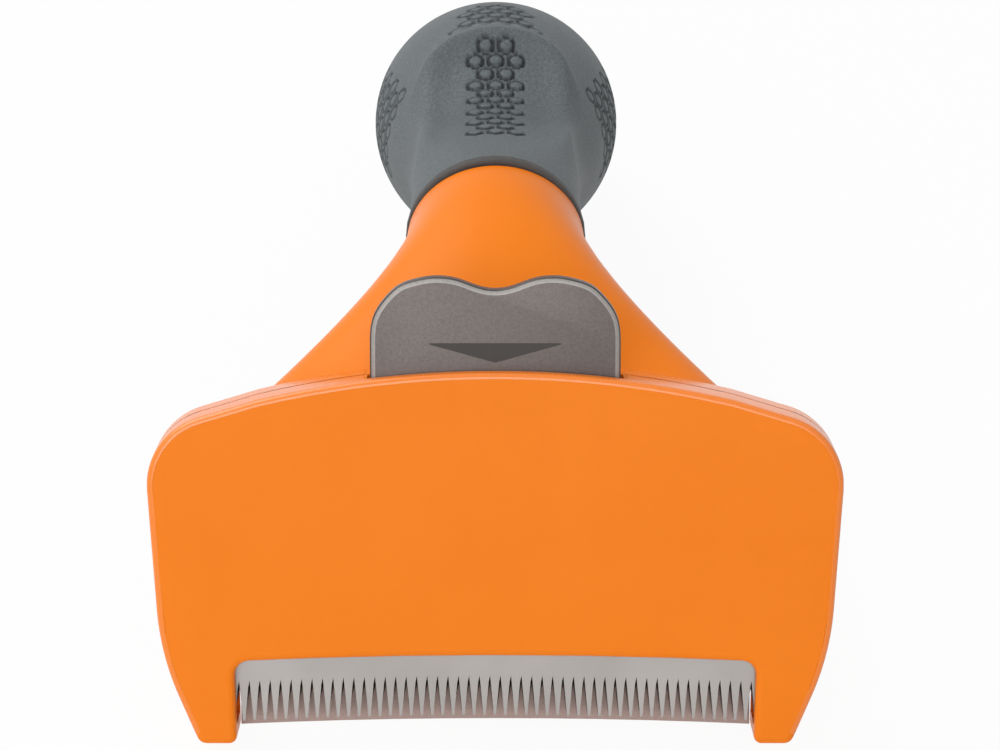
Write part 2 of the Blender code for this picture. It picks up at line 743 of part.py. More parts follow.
def gap_cutter():
    """One mesh of all the V-shaped gaps, deeper at the front than at the back."""
    first = -(GAP_COUNT - 1) / 2.0 * TOOTH_PITCH
    half_mouth = (TOOTH_PITCH - TOOTH_TIP_WIDTH) / 2.0

    def build(work):
        for i in range(GAP_COUNT):
            x = first + i * TOOTH_PITCH
            tip = edge_line(x, TIP_HEIGHT)
            sections = []
            for depth, root in ((BLADE_FRONT - OVERCUT, 0.0), (BLADE_BACK + OVERCUT, 1.0)):
                span = BLADE_THICKNESS + 2.0 * OVERCUT
                lift = ROOT_SLOPE * OVERCUT / BLADE_THICKNESS
                drop = lift - root * ROOT_SLOPE * span / BLADE_THICKNESS
                apex = tip + TOOTH_LENGTH + drop
                length = TOOTH_LENGTH + drop
                low = tip - OVERCUT
                mouth = half_mouth * (length + OVERCUT) / length
                sections.append([
                    work.verts.new((x, depth, apex)),
                    work.verts.new((x - mouth, depth, low)),
                    work.verts.new((x + mouth, depth, low)),
                ])
            front, back = sections
            work.faces.new(front)
            work.faces.new(list(reversed(back)))
            for a, b in ((0, 1), (1, 2), (2, 0)):
                work.faces.new((front[a], back[a], back[b], front[b]))

    return add_cutter(solid("tooth_gaps", build))


def make_blade():
    half = hollow_edge(TIP_HEIGHT, BLADE_HALF_WIDTH)
    half.append((BLADE_HALF_WIDTH, BLADE_TOP_Z, PLATE_RADIUS))
    half.append((0.0, BLADE_TOP_Z, 0.0))
    holes = [circle(x, z, FRONT_BOSS_RADIUS + GAP)
             for x, z in blade_screw_places().values()]
    blade = plate("blade", rounded(mirrored(half)), BLADE_FRONT, BLADE_BACK, holes)
    cut(blade, bevel_cutter())
    cut(blade, gap_cutter())
    return add_part(blade, STEEL)


def bevel_cutter():
    """Wedge that thins the back of the teeth towards their tips."""
    low = TIP_HEIGHT - TIP_END_DROP
    tip_back = BLADE_FRONT + BLADE_TIP_THICKNESS
    slope = (BLADE_BACK - tip_back) / BEVEL_LENGTH
    below = 2.0 * OVERCUT
    profile = (
        (tip_back - slope * below, low - below),
        (BLADE_BACK + slope * OVERCUT, low + BEVEL_LENGTH + OVERCUT),
        (BLADE_BACK + 2.0 * OVERCUT, low + BEVEL_LENGTH + OVERCUT),
        (BLADE_BACK + 2.0 * OVERCUT, low - below),
    )
    reach = BLADE_HALF_WIDTH + OVERCUT
    rings = [[Vector((x, y, z)) for y, z in profile] for x in (-reach, reach)]
    return add_cutter(loft("tooth_bevel", rings))


def slot_outline(x, low, high, half_width):
    return rounded([
        (x - half_width, low, half_width),
        (x + half_width, low, half_width),
        (x + half_width, high, half_width),
        (x - half_width, high, half_width),
    ])


def spring_window(x):
    """Opening for a spring, with a tab at its top that keeps the coil in place."""
    half = SEAT_HALF_WIDTH + SLIDE_GAP
    low = SPRING_SEAT_Z - SEAT_HEIGHT - SLIDE_GAP
    high = SPRING_SEAT_Z + SPRING_LENGTH + GAP
    tab = SPRING_RADIUS - SPRING_WIRE_RADIUS - GAP
    corners = [
        (x - half, low), (x + half, low), (x + half, high), (x + tab, high),
        (x + tab, high - WINDOW_TAB_LENGTH), (x - tab, high - WINDOW_TAB_LENGTH),
        (x - tab, high), (x - half, high),
    ]
    return [Vector(corner) for corner in corners]


def make_ejector_plate():
    half = hollow_edge(TIP_HEIGHT - PLATE_BELOW_TIPS, PLATE_HALF_WIDTH)
    half.append((PLATE_HALF_WIDTH, PLATE_STEP_Z, PLATE_RADIUS))
    half.append((PLATE_UPPER_HALF_WIDTH, PLATE_STEP_Z, PLATE_RADIUS))
    half.append((PLATE_UPPER_HALF_WIDTH, PLATE_TOP_Z - 4.0 * PLATE_RADIUS,
                 2.0 * PLATE_RADIUS))
    half.append((BUTTON_HALF_WIDTH, PLATE_TOP_Z, 2.0 * PLATE_RADIUS))
    half.append((0.0, PLATE_TOP_Z, 0.0))
    clear = REAR_BOSS_RADIUS + SLIDE_GAP
    holes = [slot_outline(x, z - clear, z + clear + TRAVEL, clear)
             for x, z in blade_screw_places().values()]
    holes += [spring_window(-SPRING_X), spring_window(SPRING_X)]
    holes += [circle(x, RIVET_Z, RIVET_RADIUS + GAP, 16) for x in (-RIVET_X, RIVET_X)]
    slider = plate("ejector_plate", rounded(mirrored(half)), PLATE_FRONT, PLATE_BACK, holes)
    return add_part(slider, SATIN, SLIDE)


def button_outline():
    """Two lobes with a shallow saddle between, and straight sides down into the head."""
    top = HEAD_HEIGHT + BUTTON_RISE
    half = [
        (0.0, BUTTON_TAIL_Z, 0.0),
        (BUTTON_HALF_WIDTH, BUTTON_TAIL_Z, PLATE_RADIUS),
    ]
    half += [(x, top - drop, radius) for x, drop, radius in BUTTON_EDGE]
    return rounded(mirrored(half))


def make_ejector_button():
    button = plate("ejector_button", button_outline(), BUTTON_FRONT, BUTTON_BACK)
    shown = BUTTON_TAIL_Z + PLATE_RADIUS + OVERCUT
    mark_rim(button, BUTTON_FRONT, shown)
    mark_rim(button, BUTTON_BACK, shown)
    rim = bevel(button, BUTTON_FILLET, by_weight=True)
    rim.segments = 2
    for x in (-RIVET_X, RIVET_X):
        side = "left" if x < 0.0 else "right"
        hole = rod("rivet_hole_" + side, (x, BUTTON_BACK - RIVET_DEPTH - GAP, RIVET_Z),
                   (x, BUTTON_BACK + OVERCUT, RIVET_Z), RIVET_RADIUS + GAP, sides=12)
        cut(button, add_cutter(hole))
    smooth(button)
    return add_part(button, SATIN, SLIDE)


def make_rivet(side, x):
    tip = BUTTON_BACK - RIVET_DEPTH
    head = PLATE_BACK + GAP
    profile = [
        (0.0, 0.0),
        (RIVET_RADIUS, 0.0),
        (RIVET_RADIUS, head - tip),
        (RIVET_HEAD_RADIUS, head - tip),
        (0.75 * RIVET_HEAD_RADIUS, head - tip + RIVET_HEAD_HEIGHT),
        (0.0, head - tip + RIVET_HEAD_HEIGHT),
    ]
    rivet = turned("button_rivet_" + side, profile, (x, tip, RIVET_Z), (0.0, 1.0, 0.0))
    return add_part(rivet, ZINC, SLIDE)


# ---------------------------------------------------------------- springs and fasteners

def make_spring(side, x):
    curve = bpy.data.curves.new("return_spring_" + side, "CURVE")
    curve.dimensions = "3D"
    curve.bevel_depth = SPRING_WIRE_RADIUS
    curve.bevel_resolution = 1
    curve.use_fill_caps = True
    per_turn = 10
    count = SPRING_TURNS * per_turn + 1
    middle = (PLATE_FRONT + PLATE_BACK) / 2.0
    low = SPRING_SEAT_Z + SPRING_WIRE_RADIUS + GAP
    climb = SPRING_LENGTH - 2.0 * (SPRING_WIRE_RADIUS + GAP)
    spline = curve.splines.new("POLY")
    spline.points.add(count - 1)
    for i, point in enumerate(spline.points):
        angle = 2.0 * math.pi * i / per_turn
        point.co = (
            x + SPRING_RADIUS * math.cos(angle),
            middle + SPRING_RADIUS * math.sin(angle),
            low + climb * i / (count - 1),
            1.0,
        )
    obj = bpy.data.objects.new("return_spring_" + side, curve)
    spring = mesh_from_curve(obj)
    smooth(spring, 60.0)
    return add_part(spring, ZINC)


def make_spring_pin(side, x):
    middle = (PLATE_FRONT + PLATE_BACK) / 2.0
    foot = SPRING_SEAT_Z + GAP
    profile = [
        (0.0, 0.0),
        (PIN_RADIUS, 0.0),
        (PIN_RADIUS, PIN_LENGTH - 0.5 * PIN_RADIUS),
        (0.5 * PIN_RADIUS, PIN_LENGTH),
        (0.0, PIN_LENGTH),
    ]
    pin = turned("spring_pin_" + side, profile, (x, middle, foot), (0.0, 0.0, 1.0), 12)
    return add_part(pin, ZINC)


def make_screw(name, start, direction, length):
    """A pan-head screw: its head's outer face at start, its tip along direction."""
    shank = SCREW_HEAD_HEIGHT
    profile = [
        (0.0, 0.0),
        (SCREW_HEAD_RADIUS - SCREW_CORNER, 0.0),
        (SCREW_HEAD_RADIUS, SCREW_CORNER),
        (SCREW_HEAD_RADIUS, shank),
        (SCREW_RADIUS, shank),
        (SCREW_RADIUS, length - SCREW_CORNER),
        (SCREW_RADIUS - SCREW_CORNER, length),
        (0.0, length),
    ]
    screw = turned(name, profile, start, direction)
    return add_part(screw, ZINC)


def make_screws():
    forward = (0.0, -1.0, 0.0)
    top = HEAD_DEPTH - GAP
    length = top - CAVITY_FRONT - GAP
    for side, (x, z) in blade_screw_places().items():
        make_screw("blade_screw_" + side, (x, top, z), forward, length)
    for corner, (x, z) in shell_screw_places().items():
        make_screw("shell_screw_" + corner, (x, top, z), forward, length)


# ---------------------------------------------------------------- handle

def grip_path():
    start = Vector((0.0, COLLAR_Y, COLLAR_Z))
    end = Vector((0.0, GRIP_END_Y, GRIP_END_Z))
    away = Vector((0.0, math.cos(GRIP_END_ANGLE), math.sin(GRIP_END_ANGLE)))
    return (start, start + collar_axis() * GRIP_NEAR_PULL,
            end - away * GRIP_FAR_PULL, end)


def grip_place(share):
    """Centre of the grip and the direction up from it, at a share of its length."""
    path = grip_path()
    step = 0.001
    along = bezier(path, share + step) - bezier(path, share - step)
    up = Vector((0.0, -along.z, along.y)).normalized()
    return bezier(path, share), up


def blend_sections(share, column):
    """A smooth value between the listed sections of the grip."""
    rows = GRIP_SECTIONS
    last = len(rows) - 2
    i = max(k for k in range(last + 1) if share >= rows[k][0] or k == 0)
    before = rows[max(i - 1, 0)]
    near = rows[i]
    far = rows[i + 1]
    after = rows[min(i + 2, last + 1)]
    width = far[0] - near[0]
    t = (share - near[0]) / width
    slope_near = (far[column] - before[column]) / (far[0] - before[0]) * width
    slope_far = (after[column] - near[column]) / (after[0] - near[0]) * width
    if i == 0:
        slope_near = 0.0
    return ((2.0 * t ** 3 - 3.0 * t ** 2 + 1.0) * near[column]
            + (t ** 3 - 2.0 * t ** 2 + t) * slope_near
            + (3.0 * t ** 2 - 2.0 * t ** 3) * far[column]
            + (t ** 3 - t ** 2) * slope_far)


def end_round(share, start, end=1.0):
    """1 along the body, falling as a quarter circle to 0 at the end."""
    over = max(0.0, (share - start) / (end - start))
    return math.sqrt(max(0.0, 1.0 - over ** 2.2))


def scoop_height(x, y):
    """Height of the thumb scoop: a sloping floor that turns up into a wall."""
    floor = SCOOP_START_Z + SCOOP_FLOOR_SLOPE * (y - COLLAR_Y + 4.0 * MM)
    floor -= x ** 2 / (2.0 * SCOOP_CROWN_RADIUS)
    over = max(0.0, y - SCOOP_WALL_Y)
    if over >= 0.999 * SCOOP_WALL_RADIUS:
        return floor + SCOOP_WALL_RADIUS + 4.0 * (over - 0.999 * SCOOP_WALL_RADIUS)
    return floor + SCOOP_WALL_RADIUS - math.sqrt(SCOOP_WALL_RADIUS ** 2 - over ** 2)


def soft_lower(a, b, width):
    """The lower of two heights, rounded where they cross."""
    share = max(0.0, min(1.0, 0.5 + 0.5 * (b - a) / width))
    return b * (1.0 - share) + a * share - width * share * (1.0 - share)


def grip_stations():
    """Shares of the grip's length, closer together at its round end."""
    body = int(0.8 * GRIP_STATIONS)
    shares = [GRIP_END_START * i / body for i in range(body)]
    tail = GRIP_STATIONS - body
    for i in range(tail + 1):
        turn = 0.5 * math.pi * i / tail
        shares.append(GRIP_END_START + (0.998 - GRIP_END_START) * math.sin(turn))
    return shares


def grip_rings():
    rings = []
    for share in grip_stations():
        centre, up = grip_place(share)
        taper = end_round(share, GRIP_END_START)
        ring = oval(
            centre, up, taper * blend_sections(share, 1), taper * blend_sections(share, 2),
            taper * blend_sections(share, 3), 2.0, GRIP_SIDES,
        )
        for point in ring:
            if point.z > centre.z:
                lower = soft_lower(point.z, scoop_height(point.x, point.y), SCOOP_EDGE)
                point.z = max(lower, centre.z)
        rings.append(ring)
    return rings


def core_rings(margin, front):
    """Rings of the core bar, or of the pocket round it with a margin."""
    rings = []
    for i in range(CORE_STATIONS + 1):
        share = CORE_END * math.sin(0.5 * math.pi * i / CORE_STATIONS)
        centre, up = grip_place(share)
        taper = max(end_round(share, 0.8 * CORE_END, 1.02 * CORE_END), 0.1)
        rings.append(oval(centre, up, taper * CORE_HALF_WIDTH + margin,
                          taper * CORE_ABOVE + margin, taper * CORE_BELOW + margin,
                          2.4, CORE_SIDES))
    rings[0] = [point + collar_axis() * front for point in rings[0]]
    if margin > 0.0:
        centre, up = grip_place(CORE_END)
        away = Vector((0.0, up.z, -up.y))
        rings[-1] = [point + away * margin for point in rings[-1]]
    return rings


def make_grip_sleeve():
    sleeve = loft("grip_sleeve", grip_rings())
    pocket = add_cutter(loft("core_pocket", core_rings(GAP, -OVERCUT)))
    throat = add_cutter(rod("grip_throat", collar_point(-OVERCUT),
                            collar_point(SPIGOT_ROOT + GAP), SPIGOT_RADIUS + GAP, sides=28))
    cut(sleeve, pocket, throat)
    smooth(sleeve, 40.0)
    return add_part(sleeve, RUBBER)


def make_handle_core():
    core = loft("handle_core", core_rings(0.0, 0.0))
    spigot = add_cutter(rod("spigot", collar_point(-SPIGOT_LENGTH),
                            collar_point(SPIGOT_ROOT), SPIGOT_RADIUS, sides=28))
    fuse(core, spigot)
    along = -HANDLE_SCREW_SETBACK
    depth = SPIGOT_RADIUS - HANDLE_SCREW_DEPTH - GAP
    hole = rod("spigot_screw_hole", collar_point(along, -SPIGOT_RADIUS - OVERCUT),
               collar_point(along, -depth), SCREW_RADIUS + GAP, sides=12)
    cut(core, add_cutter(hole))
    smooth(core, 40.0)
    return add_part(core, CORE_GREY)


def make_handle_screw():
    seat = handle_screw_seat()
    start = collar_point(-HANDLE_SCREW_SETBACK, -seat - SCREW_HEAD_HEIGHT)
    length = seat + SCREW_HEAD_HEIGHT - SPIGOT_RADIUS + HANDLE_SCREW_DEPTH
    return make_screw("handle_screw", start, collar_up(), length)


def make_collar_ring():
    start = -neck_end() + GAP
    middle = collar_point(start + RING_LENGTH / 2.0)

    def build(work):
        bmesh.ops.create_cone(work, cap_ends=True, segments=GRIP_SIDES, radius1=1.0,
                              radius2=1.0, depth=RING_LENGTH)
        bmesh.ops.scale(work, vec=(RING_HALF_WIDTH, RING_HALF_HEIGHT, 1.0),
                        verts=work.verts)
        turn = Matrix.Rotation(COLLAR_ANGLE - math.pi / 2.0, 3, "X")
        bmesh.ops.rotate(work, matrix=turn, verts=work.verts)
        bmesh.ops.translate(work, vec=middle, verts=work.verts)

    ring = solid("collar_ring", build)
    rim = bevel(ring, RING_FILLET)
    rim.segments = 2
    bore = add_cutter(rod("ring_bore", collar_point(start - OVERCUT), collar_point(OVERCUT),
                          SPIGOT_RADIUS + GAP, sides=28))
    cut(ring, bore)
    smooth(ring, 50.0)
    return add_part(ring, RING_GREY)


# ---------------------------------------------------------------- standing pose

def points_of(names):
    """Every corner of the named pieces, in the frame that the scene has now."""
    depsgraph = bpy.context.evaluated_depsgraph_get()
    points = []
    for name in names:
        evaluated = bpy.data.objects[name].evaluated_get(depsgraph)
        mesh = evaluated.to_mesh()
        points += [evaluated.matrix_world @ vertex.co for vertex in mesh.vertices]
        evaluated.to_mesh_clear()
    return points


def lowest(points, lean):
    return min(point.z * math.cos(lean) - point.y * math.sin(lean) for point in points)


def standing_lean():
    """Angle that brings the feet and the underside of the grip to one level."""
    head = points_of(["front_shell", "rear_housing"])
    grip = points_of(["grip_sleeve"])
    low = 0.0
    high = math.radians(60.0)
    for _ in range(60):
        middle = (low + high) / 2.0
        if lowest(grip, middle) > lowest(head, middle):
            low = middle
        else:
            high = middle
    return (low + high) / 2.0


def stand_up():
    """Lean the tool back onto feet and grip, centred over the world's origin."""
    bpy.context.view_layer.update()
    lean = standing_lean()
    FRAME.rotation_euler = (-lean, 0.0, 0.0)
    bpy.context.view_layer.update()
    names = [obj.name for obj in PARTS.objects if obj.type == "MESH"]
    points = points_of(names)
    middle_y = (min(p.y for p in points) + max(p.y for p in points)) / 2.0
    FRAME.location = (0.0, -middle_y, -min(p.z for p in points))
    bpy.context.view_layer.update()


def main():
    make_front_shell()
    make_rear_housing()
    make_blade()
    make_ejector_plate()
    make_ejector_button()
    for side, sign in (("left", -1.0), ("right", 1.0)):
        make_rivet(side, sign * RIVET_X)
        make_spring(side, sign * SPRING_X)
        make_spring_pin(side, sign * SPRING_X)
    make_screws()
    make_collar_ring()
    make_handle_core()
    make_handle_screw()
    make_grip_sleeve()
    stand_up()


main()
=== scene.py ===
"""Looks of the deshedding tool: grip texture, button, screws, springs, smooth skins over
the faceted solids, finishes, light and camera.

The head's own frame is used throughout: X across the head, Y from its front face towards
the back, Z up the face from the tips of the guard feet. HEAD turns it into the row frame.
"""
import json
import math

import bmesh
import bpy
import numpy as np
from mathutils import Matrix, Vector


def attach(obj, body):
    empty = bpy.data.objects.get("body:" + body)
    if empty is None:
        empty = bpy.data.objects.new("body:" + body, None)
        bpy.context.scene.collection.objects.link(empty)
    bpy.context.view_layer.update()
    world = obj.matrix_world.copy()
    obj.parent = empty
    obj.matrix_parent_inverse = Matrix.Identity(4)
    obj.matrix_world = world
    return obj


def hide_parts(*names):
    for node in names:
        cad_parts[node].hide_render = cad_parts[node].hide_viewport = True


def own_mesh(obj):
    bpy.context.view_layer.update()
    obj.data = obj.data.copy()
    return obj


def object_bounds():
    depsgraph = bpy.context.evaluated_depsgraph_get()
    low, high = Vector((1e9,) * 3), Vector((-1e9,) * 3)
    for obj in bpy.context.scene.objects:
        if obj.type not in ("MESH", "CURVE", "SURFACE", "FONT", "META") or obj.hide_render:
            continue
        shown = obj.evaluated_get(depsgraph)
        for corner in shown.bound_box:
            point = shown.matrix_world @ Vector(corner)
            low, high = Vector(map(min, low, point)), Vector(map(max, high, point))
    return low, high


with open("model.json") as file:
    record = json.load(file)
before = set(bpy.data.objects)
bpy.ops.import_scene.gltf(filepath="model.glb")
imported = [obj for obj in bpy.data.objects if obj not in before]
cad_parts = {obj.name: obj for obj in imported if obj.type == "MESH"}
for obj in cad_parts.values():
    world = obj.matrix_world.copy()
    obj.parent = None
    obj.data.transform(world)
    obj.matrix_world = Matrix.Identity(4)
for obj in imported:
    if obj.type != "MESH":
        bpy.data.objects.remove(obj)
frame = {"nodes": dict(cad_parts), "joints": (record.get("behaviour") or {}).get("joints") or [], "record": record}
CAD_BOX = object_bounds()

MM = 0.001

# The photograph's camera, in the head's frame
IMAGE_WIDTH = 1000
SENSOR_WIDTH = 36.0
FOCAL_PIXELS = 4235.0
CAMERA_PLACE = (0.61 * MM, -539.5 * MM, 133.7 * MM)
CAMERA_TILT = math.radians(9.0)

# Where the record's front face mount lies in the head's frame
FACE_MOUNT = Vector((0.0, 0.0, 30.0 * MM))


def head_matrix():
    """Head frame to row frame, from the slide's direction and the front face mount."""
    down = Vector(frame["joints"][0]["axis"])
    lean = math.atan2(-down.y, -down.z)
    turn = Matrix.Rotation(-lean, 4, "X")
    mount = frame["record"]["mounts"][0]
    origin = Vector(mount["pos_m"]) - turn.to_3x3() @ FACE_MOUNT
    return Matrix.Translation(origin) @ turn


HEAD = head_matrix()


# ---------------------------------------------------------------- node helpers

class Nodes:
    """A small helper for building a material's node tree."""

    def __init__(self, tree):
        self.tree = tree

    def add(self, kind, **settings):
        node = self.tree.nodes.new(kind)
        for name, value in settings.items():
            setattr(node, name, value)
        return node

    def link(self, source, target):
        self.tree.links.new(source, target)

    def feed(self, node, values):
        """Set inputs by name or index: a socket is linked, anything else is its value."""
        for key, value in values.items():
            if isinstance(value, bpy.types.NodeSocket):
                self.link(value, node.inputs[key])
            else:
                node.inputs[key].default_value = value
        return node

    def head_place(self):
        """Coordinates in the head's frame, in metres."""
        coordinates = self.add("ShaderNodeTexCoord")
        mapping = self.add("ShaderNodeMapping", vector_type="TEXTURE")
        self.feed(mapping, {
            "Vector": coordinates.outputs["Object"],
            "Location": HEAD.translation,
            "Rotation": HEAD.to_euler(),
        })
        return mapping.outputs["Vector"]

    def stretched(self, place, scale):
        mapping = self.add("ShaderNodeMapping")
        self.feed(mapping, {"Vector": place, "Scale": scale})
        return mapping.outputs["Vector"]

    def noise(self, place, scale, detail=3.0, roughness=0.55):
        node = self.add("ShaderNodeTexNoise")
        self.feed(node, {
            "Vector": place, "Scale": scale, "Detail": detail, "Roughness": roughness,
        })
        return node.outputs["Fac"]

    def ramp(self, factor, *stops):
        """A colour ramp from (position, colour) stops."""
        node = self.add("ShaderNodeValToRGB")
        elements = node.color_ramp.elements
        while len(elements) < len(stops):
            elements.new(0.5)
        for element, (position, colour) in zip(elements, stops):
            element.position = position
            element.color = (*colour, 1.0)
        self.link(factor, node.inputs["Fac"])
        return node.outputs["Color"]

    def span(self, factor, low, high, from_low=0.0, from_high=1.0):
        """The factor, mapped to a range of numbers."""
        node = self.add("ShaderNodeMapRange")
        self.feed(node, {
            "Value": factor, "From Min": from_low, "From Max": from_high,
            "To Min": low, "To Max": high,
        })
        return node.outputs["Result"]

    def mix(self, factor, first, second):
        node = self.add("ShaderNodeMix", data_type="RGBA")
        self.feed(node, {"Factor": factor, 6: first, 7: second})
        return node.outputs[2]

    def bump(self, height, distance, strength=1.0, normal=None):
        node = self.add("ShaderNodeBump")
        self.feed(node, {"Height": height, "Distance": distance, "Strength": strength})
        if normal is not None:
            self.link(normal, node.inputs["Normal"])
        return node.outputs["Normal"]


def new_material(name):
    material = bpy.data.materials.new(name)
    material.use_nodes = True
    nodes = Nodes(material.node_tree)
    shader = material.node_tree.nodes["Principled BSDF"]
    return material, nodes, shader


def rgb(red, green, blue):
    """Linear colour of a screen colour given as 0 to 255."""
    def linear(value):
        share = value / 255.0
        return share / 12.92 if share <= 0.04045 else ((share + 0.055) / 1.055) ** 2.4
    return (linear(red), linear(green), linear(blue))


# ---------------------------------------------------------------- grip

# The grip's form, as in the solid: its centre line, sections and thumb scoop
COLLAR_Y = 47.3 * MM
COLLAR_Z = 60.7 * MM
COLLAR_ANGLE = math.radians(20.0)
GRIP_END_Y = 146.0 * MM
GRIP_END_Z = 65.0 * MM
GRIP_NEAR_PULL = 29.8 * MM
GRIP_FAR_PULL = 33.0 * MM
GRIP_END_ANGLE = math.radians(-19.0)
GRIP_SECTIONS = (
    (0.00, 12.3 * MM, 12.3 * MM, 12.3 * MM),
    (0.13, 12.1 * MM, 12.2 * MM, 12.2 * MM),
    (0.27, 12.9 * MM, 14.2 * MM, 13.8 * MM),
    (0.40, 16.0 * MM, 17.2 * MM, 16.6 * MM),
    (0.52, 18.2 * MM, 18.0 * MM, 18.2 * MM),
    (0.66, 18.1 * MM, 17.6 * MM, 18.2 * MM),
    (0.82, 16.4 * MM, 15.6 * MM, 16.6 * MM),
    (1.00, 15.0 * MM, 13.6 * MM, 14.0 * MM),
)
GRIP_END_START = 0.80
GRIP_LAST = 0.998
SCOOP_START_Z = 72.2 * MM
SCOOP_START_SETBACK = 4.0 * MM
SCOOP_FLOOR_SLOPE = 0.13
SCOOP_WALL_Y = 71.0 * MM
SCOOP_WALL_RADIUS = 13.0 * MM
SCOOP_WALL_SLOPE = 4.0
SCOOP_CROWN_RADIUS = 25.0 * MM
SCOOP_EDGE = 1.2 * MM
# How far the skin lies inside the solid, and the radius it closes to inside the collar
SKIN_INSET = 0.1 * MM
THROAT_RADIUS = 7.0 * MM

# The moulded texture: round pads in hexagonal hollows, in rows on the scoop's floor and wall,
# on the crown behind it and on the flanks
CELL_WIDTH = 3.05 * MM
CELL_LENGTH = 2.64 * MM
CELL_DEPTH = 0.65 * MM
WALL_HALF_WIDTH = 0.1 * MM
PAD_RADIUS = 0.97 * MM
# Share of a pad's radius where the painted shade round its edge begins
PAD_TOP_SHARE = 0.82
PAD_CROWN = 0.12 * MM
PAD_SLOPE = 0.2 * MM
# How far the pads of each patch stand out of the skin
SCOOP_PROUD = 0.26 * MM
CROWN_PROUD = 0.1 * MM
FLANK_PROUD = 0.0
SCOOP_ROWS = 12
# Row numbers and where they lie along the grip's upper line
SCOOP_ROW_MARKS = ((0.0, 18.2 * MM), (3.6, 29.4 * MM), (5.0, 32.2 * MM), (8.0, 36.7 * MM),
                   (11.0, 43.2 * MM))
SCOOP_HALF_WIDTH = 4.0 * MM
CROWN_ROWS = 7
CROWN_ROWS_START = 48.9 * MM
CROWN_ROW_PITCH = 2.5 * MM
CROWN_HALF_WIDTH = 7.7 * MM
CROWN_TAPER = 0.6 * MM
FLANK_ROWS = 9
FLANK_ROWS_START = 41.5 * MM
FLANK_HALF_WIDTH = 6.2 * MM
FLANK_MIDDLE = 1.0 * MM
FLANK_RADIUS = 17.0 * MM
# Shares of the flank patches' relief and painted shade
FLANK_RELIEF = 0.7
FLANK_PAINTED_SHADE = 0.6
# Sine of the angle round the grip where the upper patches end, the flank patches end, and
# the ridge fades in
UPPER_LIMIT = 0.3
FLANK_LIMIT = 0.7
RIDGE_FADE = (-0.2, 0.3)
# Points round the grip, and the shares of its length between which the texture lies
GRIP_AROUND = 440
TEXTURE_START = 0.12
TEXTURE_END = 0.72

# The soft ridge round the scoop: half width, where it starts to close and where it ends,
# its depth inside and outside, and how fast each falls away
RIDGE_HALF_WIDTH = 10.2 * MM
RIDGE_SPREAD = 1.3 * MM
RIDGE_SPREAD_SPAN = (12.0 * MM, 28.0 * MM)
RIDGE_STRAIGHT = 30.0 * MM
RIDGE_END = 47.0 * MM
RIDGE_POWER = 4.0
RIDGE_INSIDE = 0.8 * MM
RIDGE_OUTSIDE = 1.3 * MM
RIDGE_INNER_REACH = 2.2 * MM
RIDGE_OUTER_REACH = 7.0 * MM
RIDGE_BROW_REACH = 1.8 * MM


def bezier(points, share):
    a, b, c, d = points
    rest = 1.0 - share
    return (a * rest ** 3 + b * (3.0 * rest ** 2 * share)
            + c * (3.0 * rest * share ** 2) + d * share ** 3)


def grip_place(share):
    """Centre of the grip and the direction up from it, as (y, z), at a share of its length."""
    start = np.array((COLLAR_Y, COLLAR_Z))
    end = np.array((GRIP_END_Y, GRIP_END_Z))
    leaving = np.array((math.cos(COLLAR_ANGLE), math.sin(COLLAR_ANGLE)))
    arriving = np.array((math.cos(GRIP_END_ANGLE), math.sin(GRIP_END_ANGLE)))
    path = (start, start + leaving * GRIP_NEAR_PULL, end - arriving * GRIP_FAR_PULL, end)
    step = 0.001
    along = bezier(path, share + step) - bezier(path, share - step)
    up = np.array((-along[1], along[0])) / np.hypot(*along)
    return bezier(path, share), up


def blend_sections(share, column):
    """A smooth value between the listed sections of the grip."""
    rows = GRIP_SECTIONS
    last = len(rows) - 2
    i = max(k for k in range(last + 1) if share >= rows[k][0] or k == 0)
    before = rows[max(i - 1, 0)]
    near = rows[i]
    far = rows[i + 1]
    after = rows[min(i + 2, last + 1)]
    width = far[0] - near[0]
    t = (share - near[0]) / width
    slope_near = (far[column] - before[column]) / (far[0] - before[0]) * width
    slope_far = (after[column] - near[column]) / (after[0] - near[0]) * width
    if i == 0:
        slope_near = 0.0
    return ((2.0 * t ** 3 - 3.0 * t ** 2 + 1.0) * near[column]
            + (t ** 3 - 2.0 * t ** 2 + t) * slope_near
            + (3.0 * t ** 2 - 2.0 * t ** 3) * far[column]
            + (t ** 3 - t ** 2) * slope_far)


def scoop_height(x, y):
    """Height of the thumb scoop: a sloping floor that turns up into a wall."""
    floor = SCOOP_START_Z + SCOOP_FLOOR_SLOPE * (y - COLLAR_Y + SCOOP_START_SETBACK)
    floor = floor - x ** 2 / (2.0 * SCOOP_CROWN_RADIUS)
    over = np.maximum(y - SCOOP_WALL_Y, 0.0)
    reach = 0.999 * SCOOP_WALL_RADIUS
    turned = floor + SCOOP_WALL_RADIUS - np.sqrt(SCOOP_WALL_RADIUS ** 2
                                                 - np.minimum(over, reach) ** 2)
    return turned + SCOOP_WALL_SLOPE * np.maximum(over - reach, 0.0)


def grip_ring(share, angles):
    """Points (x, y, z) round the grip at a share of its length."""
    centre, up = grip_place(share)
    over = max(0.0, (share - GRIP_END_START) / (1.0 - GRIP_END_START))
    taper = math.sqrt(max(0.0, 1.0 - over ** 2.2))
    width, above, below = (taper * blend_sections(share, k) - SKIN_INSET for k in (1, 2, 3))
    rise = np.sin(angles)
    rise = rise * np.where(rise > 0.0, above, below)
    x = width * np.cos(angles)
    y = centre[0] + up[0] * rise
    z = centre[1] + up[1] * rise
    scoop = scoop_height(x, y) - SKIN_INSET
    part = np.clip(0.5 + 0.5 * (scoop - z) / SCOOP_EDGE, 0.0, 1.0)
    lower = scoop * (1.0 - part) + z * part - SCOOP_EDGE * part * (1.0 - part)
    z = np.where(z > centre[1], np.maximum(lower, centre[1]), z)
    return np.stack((x, y, z), axis=-1)


